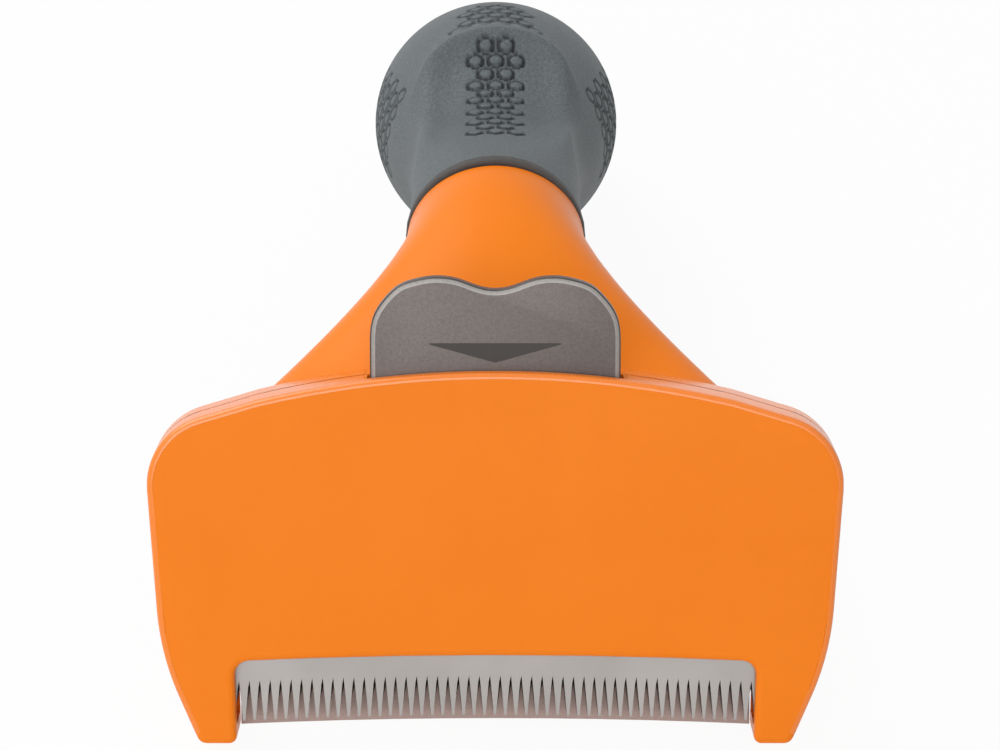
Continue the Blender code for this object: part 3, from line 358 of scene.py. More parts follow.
def grip_shares():
    """Shares of the grip's length, closest together where the texture lies."""
    near = np.linspace(0.0, TEXTURE_START, 40, endpoint=False)
    textured = np.linspace(TEXTURE_START, TEXTURE_END, 340, endpoint=False)
    far = np.linspace(TEXTURE_END, GRIP_END_START, 24, endpoint=False)
    turn = np.linspace(0.0, 0.5 * math.pi, 36)
    end = GRIP_END_START + (GRIP_LAST - GRIP_END_START) * np.sin(turn)
    return np.concatenate((near, textured, far, end))


def smooth_step(low, high, value):
    share = np.clip((value - low) / (high - low), 0.0, 1.0)
    return share * share * (3.0 - 2.0 * share)


def cell_relief(across, row_place, rows, half_width, proud, stagger=0, taper=0.0):
    """How far a patch of cells sinks in, and how much painted shade it gets.

    Across is the distance to the patch's middle and row_place the place as a row number.
    Every cell is a hexagonal hollow with a round pad in it. Proud is how far the pad stands
    out of the skin, and taper narrows the patch row by row.
    """
    nearest = np.full(across.shape, 9.0)
    second = np.full(across.shape, 9.0)
    inside = np.zeros(across.shape, bool)
    near_row = np.round(row_place)
    for row in (near_row - 1, near_row, near_row + 1):
        shift = np.where((row + stagger) % 2 == 0, 0.0, 0.5 * CELL_WIDTH)
        middle = np.round((across - shift) / CELL_WIDTH)
        for column in (middle - 1, middle, middle + 1):
            x = column * CELL_WIDTH + shift
            distance = np.hypot(across - x, (row_place - row) * CELL_LENGTH)
            member = (row >= 0) & (row < rows) & (np.abs(x) <= half_width - taper * row)
            closer = distance < nearest
            second = np.where(closer, nearest, np.minimum(second, distance))
            inside = np.where(closer, member, inside)
            nearest = np.where(closer, distance, nearest)
    border = 0.5 * (second - nearest)
    hollow = smooth_step(WALL_HALF_WIDTH, WALL_HALF_WIDTH + PAD_SLOPE, border)
    pad = 1.0 - smooth_step(PAD_RADIUS, PAD_RADIUS + PAD_SLOPE, nearest)
    sunk = hollow * inside * (1.0 - pad)
    dome = pad * inside * (PAD_CROWN * (nearest / PAD_RADIUS) ** 2 - proud)
    # Painted shade: the hollows, their walls and the outer edge of every pad are marked dark
    top = 1.0 - smooth_step(PAD_TOP_SHARE * PAD_RADIUS, PAD_RADIUS, nearest)
    return sunk * CELL_DEPTH + dome, hollow * inside * (1.0 - top)


def ridge_relief(x, along):
    """Depth beside the soft ridge that runs round the thumb scoop."""
    spread = RIDGE_SPREAD * (1.0 - smooth_step(*RIDGE_SPREAD_SPAN, along))
    half_width = RIDGE_HALF_WIDTH + spread
    closing = np.maximum(along - RIDGE_STRAIGHT, 0.0) / (RIDGE_END - RIDGE_STRAIGHT)
    level = ((np.abs(x) / half_width) ** RIDGE_POWER + closing ** RIDGE_POWER)
    beyond = (level ** (1.0 / RIDGE_POWER) - 1.0) * half_width
    inner = RIDGE_INSIDE * (1.0 - np.exp(-(beyond / RIDGE_INNER_REACH) ** 2))
    outer = RIDGE_OUTSIDE * (np.exp(-(beyond / RIDGE_OUTER_REACH) ** 2)
                             - np.exp(-(beyond / RIDGE_BROW_REACH) ** 2))
    return np.where(beyond < 0.0, inner, np.maximum(outer, 0.0))


def scoop_rows(along):
    """Row number of a place on the scoop, from its distance along the grip's upper line."""
    numbers, places = zip(*SCOOP_ROW_MARKS)
    slope = (places[1] - places[0]) / (numbers[1] - numbers[0])
    rows = np.interp(along, places, numbers)
    rows = np.where(along < places[0], (along - places[0]) / slope, rows)
    over = (along - places[-1]) / CELL_LENGTH
    return np.where(over > 0.0, numbers[-1] + over, rows)


def grip_relief(points, angles):
    """Depth of the moulded relief and its painted shade, for every point of the skin."""
    top = points[:, GRIP_AROUND // 4, :]
    steps = np.linalg.norm(np.diff(top, axis=0), axis=1)
    along = np.concatenate(((0.0,), np.cumsum(steps)))[:, None] + 0.0 * angles
    x = points[:, :, 0]
    rise = np.sin(angles)[None, :]
    scoop, scoop_painted_shade = cell_relief(x, scoop_rows(along), SCOOP_ROWS, SCOOP_HALF_WIDTH,
                                    SCOOP_PROUD)
    crown_row = (along - CROWN_ROWS_START) / CROWN_ROW_PITCH
    crown, crown_painted_shade = cell_relief(x, crown_row, CROWN_ROWS, CROWN_HALF_WIDTH,
                                    CROWN_PROUD, stagger=1, taper=CROWN_TAPER)
    upper = rise > UPPER_LIMIT
    ridge = smooth_step(*RIDGE_FADE, rise) * ridge_relief(x, along)
    depth = upper * (scoop + crown) + ridge
    side = np.arcsin(rise) * FLANK_RADIUS - FLANK_MIDDLE + 0.0 * along
    flank_along = np.linalg.norm(points - points[:1], axis=2)
    flank_row = (flank_along - FLANK_ROWS_START) / CELL_LENGTH
    flank, flank_painted_shade = cell_relief(side, flank_row, FLANK_ROWS, FLANK_HALF_WIDTH, FLANK_PROUD)
    beside = np.abs(rise) < FLANK_LIMIT
    # Painted shade of the scoop, crown and flank patches, the flanks at a lesser share
    dark = upper * (scoop_painted_shade + crown_painted_shade) + FLANK_PAINTED_SHADE * beside * flank_painted_shade
    return depth + FLANK_RELIEF * beside * flank, np.clip(dark, 0.0, 1.0)


def grid_normals(points):
    """Outward normals of a grid of rings."""
    round_it = np.roll(points, -1, axis=1) - np.roll(points, 1, axis=1)
    along = np.gradient(points, axis=0)
    normals = np.cross(along, round_it)
    length = np.linalg.norm(normals, axis=2, keepdims=True)
    return normals / np.maximum(length, 1e-12)


def mesh_object(name, vertices, faces):
    """An object in the row frame from vertices given in the head's frame."""
    mesh = bpy.data.meshes.new(name)
    mesh.from_pydata([tuple(v) for v in vertices], [], faces)
    mesh.transform(HEAD)
    mesh.update()
    obj = bpy.data.objects.new(name, mesh)
    bpy.context.scene.collection.objects.link(obj)
    return obj


def make_grip():
    """The rubber sleeve with its moulded texture: a skin that is open inside the collar."""
    angles = np.arange(GRIP_AROUND) * 2.0 * math.pi / GRIP_AROUND
    points = np.stack([grip_ring(share, angles) for share in grip_shares()])
    depth, dark = grip_relief(points, angles)
    skin = points - grid_normals(points) * depth[:, :, None]
    centre, up = grip_place(0.0)
    middle = np.array((0.0, centre[0], centre[1]))
    spread = skin[0] - middle
    reach = np.linalg.norm(spread, axis=1, keepdims=True)
    mouth = middle + spread / reach * THROAT_RADIUS
    rings = np.concatenate((mouth[None], skin))
    painted_shade_per_point = np.concatenate((dark[:1], dark)).ravel()
    count, around = rings.shape[:2]
    faces = []
    for i in range(count - 1):
        row = i * around
        for j in range(around):
            k = (j + 1) % around
            faces.append((row + j, row + k, row + around + k, row + around + j))
    faces.append([(count - 1) * around + j for j in range(around)])
    grip = mesh_object("textured_grip", rings.reshape(-1, 3), faces)
    # Painted shade for the hollows and pad edges, handed to the material as a point attribute
    attribute = grip.data.attributes.new("painted_groove_shade", "FLOAT", "POINT")
    attribute.data.foreach_set("value", painted_shade_per_point)
    grip.data.shade_smooth()
    grip.data.materials.append(grip_rubber())
    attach(grip, "casing")
    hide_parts("grip_sleeve")


# ---------------------------------------------------------------- button

BUTTON_FRONT = 2.3 * MM
BUTTON_THICKNESS = 2.6 * MM
BUTTON_TOP = 60.6 * MM
BUTTON_TAIL = 33.0 * MM
BUTTON_HALF_WIDTH = 16.25 * MM
# Right half of the button's upper edge, saddle to side: X, drop below the top, rounding
BUTTON_EDGE = (
    (BUTTON_HALF_WIDTH, 5.0 * MM, 6.0 * MM),
    (12.65 * MM, 0.9 * MM, 4.0 * MM),
    (8.2 * MM, -0.15 * MM, 5.0 * MM),
    (5.2 * MM, 0.1 * MM, 4.0 * MM),
    (0.0, 2.2 * MM, 9.0 * MM),
)
# The rim in section: distance in from the outline and depth behind the face
RIM_ROUND = ((0.0, 0.5 * MM), (0.05 * MM, 0.34 * MM), (0.18 * MM, 0.2 * MM))
RIM_CHAMFER = ((0.34 * MM, 0.13 * MM), (0.7 * MM, 0.0))
ARROW_HALF_WIDTH = 8.5 * MM
ARROW_TOP = 52.05 * MM
ARROW_TIP = 49.5 * MM
ARROW_SIDE = 0.18 * MM
ARROW_PROUD = 0.03 * MM
BUTTON_BACK_CORNER = 0.4 * MM
BUTTON_SHARP = math.radians(50.0)
# Spacing of the button's outline, how many steps each way its bends are smoothed over, and
# the height from which they are
SOFT_STEP = 0.2 * MM
SOFT_REACH = 5
SOFT_FROM = 45.0 * MM


def fillet(before, corner, after, radius, step=4.0):
    """Points of the round that replaces a corner of an outline."""
    if radius <= 0.0:
        return [corner]
    to_before = (before - corner).normalized()
    to_after = (after - corner).normalized()
    half = to_before.angle(to_after) / 2.0
    reach = min(radius / math.tan(half),
                0.49 * min((before - corner).length, (after - corner).length))
    radius = reach * math.tan(half)
    centre = corner + (to_before + to_after).normalized() * (radius / math.sin(half))
    start = corner + to_before * reach - centre
    sweep = math.pi - 2.0 * half
    steps = max(2, math.ceil(math.degrees(sweep) / step))
    turn = 1.0 if to_before.x * to_after.y - to_before.y * to_after.x < 0.0 else -1.0
    return [centre + Matrix.Rotation(turn * sweep * i / steps, 2) @ start
            for i in range(steps + 1)]


def outline(right_half):
    """A closed symmetric outline from the (x, z, radius) corners of its right half."""
    corners = right_half + [(-x, z, r) for x, z, r in reversed(right_half) if x > 1e-9]
    points = []
    for i, (x, z, radius) in enumerate(corners):
        before = Vector(corners[i - 1][:2])
        after = Vector(corners[(i + 1) % len(corners)][:2])
        points += fillet(before, Vector((x, z)), after, radius)
    return points


def softened(points, lowest):
    """The outline in short even steps, with the bends above a height rounded into curves."""
    closed = points + points[:1]
    steps = [(b - a).length for a, b in zip(closed, closed[1:])]
    places = np.concatenate(((0.0,), np.cumsum(steps)))
    count = int(places[-1] / SOFT_STEP)
    even = np.linspace(0.0, places[-1], count, endpoint=False)
    line = np.stack([np.interp(even, places, [p[k] for p in closed]) for k in (0, 1)], axis=1)
    window = range(-SOFT_REACH, SOFT_REACH + 1)
    for _ in range(2):
        mean = sum(np.roll(line, shift, axis=0) for shift in window) / len(window)
        share = smooth_step(lowest, lowest + 1.0 * MM, line[:, 1])[:, None]
        line = line + (mean - line) * share
    return [Vector(p) for p in line]


def inset(points, distance):
    """The outline moved inwards, each point along its own corner's middle."""
    moved = []
    for i, point in enumerate(points):
        before = (point - points[i - 1]).normalized()
        after = (points[(i + 1) % len(points)] - point).normalized()
        along = (before + after).normalized()
        moved.append(point + Vector((-along.y, along.x)) * distance)
    return moved


def make_button():
    """The sheet-metal button with its rolled rim, painted darker as shade, and its chamfer, painted lighter as a
    highlight.
    """
    half = [(0.0, BUTTON_TAIL, 0.0), (BUTTON_HALF_WIDTH, BUTTON_TAIL, 1.5 * MM)]
    half += [(x, BUTTON_TOP - drop, radius) for x, drop, radius in BUTTON_EDGE]
    edge = softened(outline(half), SOFT_FROM)
    back = BUTTON_FRONT + BUTTON_THICKNESS
    rings = [(BUTTON_BACK_CORNER, back), (0.0, back - BUTTON_BACK_CORNER)]
    rings += [(distance, BUTTON_FRONT + depth) for distance, depth in RIM_ROUND + RIM_CHAMFER]
    count = len(edge)
    vertices = []
    for distance, y in rings:
        vertices += [(p.x, y, p.y) for p in inset(edge, distance)]
    faces = []
    for ring in range(len(rings) - 1):
        for i in range(count):
            j = (i + 1) % count
            a, b = ring * count, (ring + 1) * count
            faces.append((a + i, a + j, b + j, b + i))
    faces.append(list(range(count))[::-1])
    faces.append([(len(rings) - 1) * count + i for i in range(count)])
    button = mesh_object("button_shell", vertices, faces)
    for name in ("face", "rim", "chamfer"):
        button.data.materials.append(button_metal(name))
    # Bands next to the face take the chamfer's painted highlight, the outer bands the rim's painted shade, front
    # and back the face's colour
    chamfer = len(rings) - 2
    for polygon in button.data.polygons:
        ring = polygon.index // count
        if polygon.index >= (len(rings) - 1) * count:
            polygon.material_index = 0
        elif ring >= chamfer - 1:
            polygon.material_index = 2
        else:
            polygon.material_index = 1
    button.data.shade_smooth()
    button.data.set_sharp_from_angle(angle=BUTTON_SHARP)
    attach(button, "ejector")
    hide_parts("ejector_button")


def make_arrow():
    """The printed arrow that points the way the button is pushed."""
    front = BUTTON_FRONT - ARROW_PROUD
    back = BUTTON_FRONT + ARROW_PROUD
    shoulder = ARROW_TOP - ARROW_SIDE
    corners = [(-ARROW_HALF_WIDTH, ARROW_TOP), (-ARROW_HALF_WIDTH, shoulder), (0.0, ARROW_TIP),
               (ARROW_HALF_WIDTH, shoulder), (ARROW_HALF_WIDTH, ARROW_TOP)]
    count = len(corners)
    vertices = [(x, y, z) for y in (front, back) for x, z in corners]
    faces = [list(range(count)), list(range(count, 2 * count))[::-1]]
    faces += [(i, i + count, (i + 1) % count + count, (i + 1) % count) for i in range(count)]
    arrow = mesh_object("button_arrow", vertices, faces)
    arrow.data.materials.append(arrow_print())
    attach(arrow, "ejector")


# ---------------------------------------------------------------- screws

HEAD_BACK = 10.3 * MM
SCREW_LENGTH = 8.2 * MM
SCREW_HEAD_RADIUS = 1.9 * MM
SCREW_TOP_HEIGHT = 0.6 * MM
SCREW_HEAD_HEIGHT = 1.0 * MM
SCREW_SHANK_RADIUS = 1.1 * MM
SCREW_CORNER = 0.15 * MM
SLOT_HALF_WIDTH = 0.28 * MM
SLOT_REACH = 1.15 * MM
BLADE_SCREW_PLACES = {"left": (-16.0, 15.5), "centre": (0.0, 15.5), "right": (16.0, 15.5)}
SHELL_SCREW_PLACES = {
    "lower_left": (-38.6, 17.5), "lower_right": (38.6, 17.5),
    "upper_left": (-39.4, 34.0), "upper_right": (39.4, 34.0),
}
HANDLE_SCREW_SETBACK = 8.5 * MM
HANDLE_SCREW_DROP = 9.7 * MM
HANDLE_SCREW_LENGTH = 7.1 * MM


def cross_outline():
    """Outline of the cross recess."""
    w, r = SLOT_HALF_WIDTH, SLOT_REACH
    return [(w, r), (w, w), (r, w), (r, -w), (w, -w), (w, -r),
            (-w, -r), (-w, -w), (-r, -w), (-r, w), (-w, w), (-w, r)]


def screw_top():
    """Mesh of the head's upper part: a disc with rounded edges and a cross recess."""
    curve = bpy.data.curves.new("screw_top", "CURVE")
    curve.dimensions = "2D"
    curve.fill_mode = "BOTH"
    curve.extrude = SCREW_TOP_HEIGHT / 2.0 - SCREW_CORNER
    curve.bevel_depth = SCREW_CORNER
    curve.bevel_resolution = 2
    rim = SCREW_HEAD_RADIUS - SCREW_CORNER
    turns = [2.0 * math.pi * i / 40 for i in range(40)]
    for loop in ([(rim * math.cos(a), rim * math.sin(a)) for a in turns], cross_outline()):
        spline = curve.splines.new("POLY")
        spline.points.add(len(loop) - 1)
        for point, (x, y) in zip(spline.points, loop):
            point.co = (x, y, -SCREW_TOP_HEIGHT / 2.0, 1.0)
        spline.use_cyclic_u = True
    obj = bpy.data.objects.new("screw_top", curve)
    bpy.context.scene.collection.objects.link(obj)
    bpy.context.view_layer.update()
    evaluated = obj.evaluated_get(bpy.context.evaluated_depsgraph_get())
    mesh = bpy.data.meshes.new_from_object(evaluated)
    bpy.data.objects.remove(obj)
    return mesh


def screw_mesh(length):
    """A screw along -Z, its outer face at zero."""
    work = bmesh.new()
    work.from_mesh(screw_top())
    profile = ((0.0, 0.9 * SCREW_TOP_HEIGHT), (0.98 * SCREW_HEAD_RADIUS, 0.9 * SCREW_TOP_HEIGHT),
               (0.98 * SCREW_HEAD_RADIUS, SCREW_HEAD_HEIGHT),
               (SCREW_SHANK_RADIUS, SCREW_HEAD_HEIGHT),
               (SCREW_SHANK_RADIUS, length - 2.0 * SCREW_CORNER),
               (0.7 * SCREW_SHANK_RADIUS, length), (0.0, length))
    vertices = [work.verts.new((radius, 0.0, -depth)) for radius, depth in profile]
    edges = [work.edges.new(pair) for pair in zip(vertices, vertices[1:])]
    bmesh.ops.spin(work, geom=vertices + edges, cent=(0.0, 0.0, 0.0), axis=(0.0, 0.0, 1.0),
                   angle=2.0 * math.pi, steps=32, use_merge=True)
    bmesh.ops.remove_doubles(work, verts=work.verts, dist=0.002 * MM)
    bmesh.ops.recalc_face_normals(work, faces=work.faces)
    mesh = bpy.data.meshes.new("screw")
    work.to_mesh(mesh)
    work.free()
    mesh.shade_smooth()
    mesh.set_sharp_from_angle(angle=math.radians(40.0))
    return mesh


def make_screw(node, place, direction, length, material, turn):
    screw = bpy.data.objects.new(node + "_detail", screw_mesh(length))
    aim = Vector((0.0, 0.0, -1.0)).rotation_difference(Vector(direction)).to_matrix().to_4x4()
    spin = Matrix.Rotation(turn, 4, "Z")
    screw.matrix_world = HEAD @ Matrix.Translation(place) @ aim @ spin
    bpy.context.scene.collection.objects.link(screw)
    screw.data.materials.append(material)
    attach(screw, "casing")
    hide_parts(node)


def make_screws():
    material = zinc()
    forward = (0.0, -1.0, 0.0)
    places = {"blade_screw_" + key: place for key, place in BLADE_SCREW_PLACES.items()}
    places.update({"shell_screw_" + key: place for key, place in SHELL_SCREW_PLACES.items()})
    for i, (node, (x, z)) in enumerate(places.items()):
        make_screw(node, (x * MM, HEAD_BACK, z * MM), forward, SCREW_LENGTH, material, 0.7 * i)
    along = np.array((math.cos(COLLAR_ANGLE), math.sin(COLLAR_ANGLE)))
    up = np.array((-along[1], along[0]))
    y, z = (np.array((COLLAR_Y, COLLAR_Z)) - along * HANDLE_SCREW_SETBACK
            - up * HANDLE_SCREW_DROP)
    make_screw("handle_screw", (0.0, y, z), (0.0, up[0], up[1]), HANDLE_SCREW_LENGTH,
               material, 0.4)


# ---------------------------------------------------------------- springs

SPRING_PLACES = {"left": (-25.0 * MM, 5.8 * MM), "right": (25.0 * MM, 5.8 * MM)}
SPRING_LOW = 26.6 * MM
SPRING_HIGH = 37.2 * MM
SPRING_RADIUS = 1.5 * MM
SPRING_WIRE_RADIUS = 0.24 * MM
SPRING_TURNS = 6
SPRING_STEPS = 24
SPRING_SIDES = 8


def make_spring(side, x, y, material):
    """A return spring, as one fixed coil; the real one shortens towards its seat as the ejector comes down."""
    count = SPRING_TURNS * SPRING_STEPS + 1
    low = SPRING_LOW + SPRING_WIRE_RADIUS
    climb = SPRING_HIGH - SPRING_LOW - 2.0 * SPRING_WIRE_RADIUS
    vertices = []
    for i in range(count):
        angle = 2.0 * math.pi * i / SPRING_STEPS
        height = low + climb * i / (count - 1)
        for j in range(SPRING_SIDES):
            turn = 2.0 * math.pi * j / SPRING_SIDES
            reach = SPRING_RADIUS + SPRING_WIRE_RADIUS * math.cos(turn)
            vertices.append((x + reach * math.cos(angle), y + reach * math.sin(angle),
                             height + SPRING_WIRE_RADIUS * math.sin(turn)))
    faces = [list(range(SPRING_SIDES)),
             [(count - 1) * SPRING_SIDES + j for j in range(SPRING_SIDES)][::-1]]
    for i in range(count - 1):
        for j in range(SPRING_SIDES):
            k = (j + 1) % SPRING_SIDES
            a, b = i * SPRING_SIDES, (i + 1) * SPRING_SIDES
            faces.append((a + j, b + j, b + k, a + k))
    spring = mesh_object("coil_" + side, vertices, faces)
    spring.data.shade_smooth()
    spring.data.materials.append(material)
    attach(spring, "casing")
    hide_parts("return_spring_" + side)
    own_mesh(spring)


def make_springs():
    material = zinc()
    for side, (x, y) in SPRING_PLACES.items():
        make_spring(side, x, y, material)


# ---------------------------------------------------------------- smooth skins

# The head's outline and the neck, as in the solids
SHOULDER_X = 45.7 * MM
SHOULDER_Z = 40.4 * MM
SHOULDER_RADIUS = 11.0 * MM
HEAD_TOP = 48.5 * MM
KNEE_X = 43.7 * MM
KNEE_Z = 11.2 * MM
KNEE_RADIUS = 36.0 * MM
FOOT_X = 38.65 * MM
FOOT_Z = -0.7 * MM
TOP_EDGE_END = 0.68
FRONT_DEPTH = 5.4 * MM
REAR_FACE = 5.7 * MM
HEAD_DEPTH = 10.6 * MM
FACE_FILLET = 0.8 * MM
SKIN_PROUD = 0.02 * MM
SKIN_MARGIN = 0.08 * MM
# The rim skins begin beside the button and end just above the feet's tips
RIM_START_X = 17.0 * MM
BUTTON_SLOT_Y = 1.9 * MM
RIM_END_SHARE = 0.8
NECK_ROOT = (9.7 * MM, 35.8 * MM, 34.9 * MM, 11.6 * MM)
NECK_END = (12.25 * MM, 11.7 * MM)
NECK_END_SETBACK = 2.3 * MM
NECK_ROOT_SQUARENESS = 2.8
NECK_NEAR_PULL = (0.21, 0.14)
NECK_FAR_PULL = 0.47
NECK_WIDTH_PULLS = (0.873, 0.955)
NECK_HEIGHT_PULLS = (1.07, 1.04)
NECK_STATIONS = 90
NECK_SIDES = 150
# How far below the neck's middle its skin reaches on either side
NECK_SKIN_LOW = math.radians(50.0)
# The dark lining inside the collar: radius, and its ends before and behind the grip's front
LINING_RADIUS = 11.2 * MM
LINING_ENDS = (-3.2 * MM, 0.6 * MM)


def top_edge(x):
    """Height of the head's arched upper edge."""
    rise = HEAD_TOP - SHOULDER_Z
    radius = (SHOULDER_X ** 2 + rise ** 2) / (2.0 * rise)
    return HEAD_TOP - radius + math.sqrt(radius ** 2 - x ** 2)


def side_edge():
    """The head's outline from beside the button round the shoulder and knee, as (x, z)."""
    top_end = TOP_EDGE_END * SHOULDER_X
    steps = 14
    points = []
    for i in range(steps + 1):
        x = RIM_START_X + (top_end - RIM_START_X) * i / steps
        points.append(Vector((x, top_edge(x))))
    shoulder = Vector((SHOULDER_X, SHOULDER_Z))
    knee = Vector((KNEE_X, KNEE_Z))
    foot = Vector((FOOT_X, FOOT_Z))
    points += fillet(points[-1], shoulder, knee, SHOULDER_RADIUS, 3.0)
    bend = fillet(shoulder, knee, foot, KNEE_RADIUS, 1.5)
    points += bend
    points.append(bend[-1].lerp(foot, RIM_END_SHARE))
    return points


def outward(points):
    """The unit direction out of an outline that runs down the right side."""
    directions = []
    for i in range(len(points)):
        along = points[min(i + 1, len(points) - 1)] - points[max(i - 1, 0)]
        directions.append(Vector((-along.y, along.x)).normalized())
    return directions


def strip_faces(rows, columns):
    return [(i * columns + j, i * columns + j + 1, (i + 1) * columns + j + 1,
             (i + 1) * columns + j) for i in range(rows - 1) for j in range(columns - 1)]


def smooth_skin(name, grid, material):
    """A finely stepped sheet just over the faces of a node."""
    columns = len(grid[0])
    skin = mesh_object(name, [p for row in grid for p in row], strip_faces(len(grid), columns))
    skin.data.shade_smooth()
    skin.data.materials.append(material)
    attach(skin, "casing")


def rim_grid(edge, directions, section, sign=1.0):
    """Rows of points across a rim, one row for each point of the outline."""
    limit = CAD_BOX[1][0]
    grid = []
    for point, direction in zip(edge, directions):
        moved = [(point + direction * (SKIN_PROUD - inset), y) for inset, y in section]
        grid.append([(sign * min(p.x, limit), y, p.y) for p, y in moved])
    return grid


def make_rims(material):
    """Round edges of the head: over the button, and round both shoulders and knees."""
    edge = side_edge()
    turns = [0.5 * math.pi * i / 8 for i in range(9)]
    corner = [(FACE_FILLET * (1.0 - math.sin(a)), FACE_FILLET * (1.0 - math.cos(a)))
              for a in turns]
    front = corner + [(0.0, FRONT_DEPTH - SKIN_MARGIN)]
    rear = [(inset, HEAD_DEPTH - depth) for inset, depth in corner]
    rear.append((0.0, REAR_FACE + SKIN_MARGIN))
    for node, section in (("front_shell", front), ("rear_housing", rear)):
        for side, sign in (("left", -1.0), ("right", 1.0)):
            grid = rim_grid(edge, outward(edge), section, sign)
            flip = (sign > 0.0) == (node == "front_shell")
            grid = grid if flip else [row[::-1] for row in grid]
            smooth_skin("rim_" + node + "_" + side, grid, material)
    places = np.linspace(-RIM_START_X, RIM_START_X, 41)
    middle = [Vector((x, top_edge(x))) for x in places]
    grid = rim_grid(middle, outward(middle), corner + [(0.0, BUTTON_SLOT_Y)])
    smooth_skin("rim_front_shell_middle", grid, material)


def make_neck(material):
    """The neck's upper side and flanks, which run from the head into the collar."""
    start_y, start_z, root_width, root_height = NECK_ROOT
    along = np.array((math.cos(COLLAR_ANGLE), math.sin(COLLAR_ANGLE)))
    start = np.array((start_y, start_z))
    end = np.array((COLLAR_Y, COLLAR_Z)) - along * NECK_END_SETBACK
    span = end - start
    path = (start, start + span * NECK_NEAR_PULL, end - along * NECK_FAR_PULL * span[0], end)
    end_width, end_height = NECK_END
    widths = (root_width, NECK_WIDTH_PULLS[0] * root_width,
              NECK_WIDTH_PULLS[1] * end_width, end_width)
    heights = (root_height, NECK_HEIGHT_PULLS[0] * root_height,
               NECK_HEIGHT_PULLS[1] * end_height, end_height)
    angles = np.linspace(-NECK_SKIN_LOW, math.pi + NECK_SKIN_LOW, NECK_SIDES)
    grid = []
    for i in range(NECK_STATIONS + 1):
        share = i / NECK_STATIONS
        tilt = COLLAR_ANGLE * share
        power = 2.0 / (NECK_ROOT_SQUARENESS + (2.0 - NECK_ROOT_SQUARENESS) * share)
        c, s = np.cos(angles), np.sin(angles)
        x = np.sign(c) * np.abs(c) ** power * (bezier(widths, share) + SKIN_PROUD)
        rise = np.sign(s) * np.abs(s) ** power * (bezier(heights, share) + SKIN_PROUD)
        y, z = bezier(path, share)
        grid.append([tuple(p) for p in np.stack((x, y - math.sin(tilt) * rise,
                                                 z + math.cos(tilt) * rise), axis=1)])
    smooth_skin("neck_skin", grid, material)


def make_lining(material):
    """A dark band inside the collar ring, seen in the fine gaps on either side of it."""
    along = np.array((0.0, math.cos(COLLAR_ANGLE), math.sin(COLLAR_ANGLE)))
    up = np.array((0.0, -along[2], along[1]))
    angles = np.linspace(0.0, 2.0 * math.pi, 73)
    circle = (np.cos(angles)[:, None] * np.array((1.0, 0.0, 0.0))
              + np.sin(angles)[:, None] * up) * LINING_RADIUS
    centre = np.array((0.0, COLLAR_Y, COLLAR_Z))
    grid = [[tuple(p) for p in centre + along * end + circle] for end in LINING_ENDS]
    smooth_skin("collar_lining", grid, material)


# ---------------------------------------------------------------- finishes

def orange_plastic(name, specular, roughness):
    material, nodes, shader = new_material(name)
    place = nodes.head_place()
    cloud = nodes.noise(place, 60.0, 2.0)
    grain = nodes.noise(place, 2600.0, 2.0)
    colour = nodes.ramp(cloud, (0.3, rgb(249, 130, 22)), (0.7, rgb(252, 133, 26)))
    nodes.feed(shader, {
        "Base Color": colour,
        "Roughness": nodes.span(grain, roughness, roughness + 0.08),
        "Normal": nodes.bump(grain, 0.01 * MM, 0.3),
        "Specular IOR Level": specular,
    })
    return material


def blade_steel():
    material, nodes, shader = new_material("blade_steel")
    place = nodes.head_place()
    lines = nodes.noise(nodes.stretched(place, (60.0, 60.0, 4200.0)), 1.0, 4.0)
    cloud = nodes.noise(place, 90.0, 2.0)
    colour = nodes.ramp(cloud, (0.3, (0.255, 0.240, 0.228)), (0.7, (0.290, 0.272, 0.260)))
    nodes.feed(shader, {
        "Base Color": colour,
        "Metallic": 1.0,
        "Roughness": nodes.span(lines, 0.30, 0.42),
        "Normal": nodes.bump(lines, 0.006 * MM, 0.4),
    })
    return material


def satin_metal(name, dark, light):
    material, nodes, shader = new_material(name)
    place = nodes.head_place()
    grain = nodes.noise(place, 3500.0, 3.0)
    colour = nodes.ramp(grain, (0.35, dark), (0.65, light))
    nodes.feed(shader, {
        "Base Color": colour,
        "Metallic": 0.75,
        "Roughness": nodes.span(grain, 0.38, 0.5),
        "Normal": nodes.bump(grain, 0.008 * MM, 0.5),
    })
    return material


def rubber(name, dark, light):
    material, nodes, shader = new_material(name)
    place = nodes.head_place()
    cloud = nodes.noise(place, 55.0, 4.0)
    grain = nodes.noise(place, 1500.0, 3.0)
    colour = nodes.ramp(cloud, (0.3, dark), (0.7, light))
    nodes.feed(shader, {
        "Base Color": colour,
        "Roughness": nodes.span(grain, 0.55, 0.72),
        "Normal": nodes.bump(grain, 0.05 * MM, 0.4),
        "Specular IOR Level": 0.35,
    })
    return material


def grip_rubber():
    """Soft rubber with a fine wrinkled grain, and painted shade mixed in down in the texture's hollows and round
    its pads.
    """
    material, nodes, shader = new_material("grip_rubber")
    place = nodes.head_place()
    cloud = nodes.noise(place, 55.0, 4.0)
    grain = nodes.noise(place, 2600.0, 3.0, 0.7)
    wrinkle = nodes.noise(nodes.stretched(place, (1.0, 0.6, 0.8)), 650.0, 3.0)
    painted_groove_shade = nodes.add("ShaderNodeAttribute", attribute_name="painted_groove_shade").outputs["Fac"]
    plain = nodes.ramp(cloud, (0.3, rgb(84, 90, 92)), (0.7, rgb(92, 98, 100)))
    worn = nodes.ramp(grain, (0.35, rgb(64, 69, 71)), (0.65, rgb(112, 118, 120)))
    skin = nodes.mix(0.5, plain, worn)
    # Painted shade: the skin is mixed towards near black where the point attribute marks hollows and pad edges
    skin_with_painted_shade = nodes.mix(nodes.span(painted_groove_shade, 0.0, 0.85), skin, (*rgb(28, 30, 32), 1.0))
    rough = nodes.bump(wrinkle, 0.10 * MM, 0.5)
    nodes.feed(shader, {
        "Base Color": skin_with_painted_shade,
        "Roughness": nodes.span(grain, 0.5, 0.7),
        "Normal": nodes.bump(grain, 0.12 * MM, 0.8, rough),
        "Specular IOR Level": 0.4,
    })
    return material


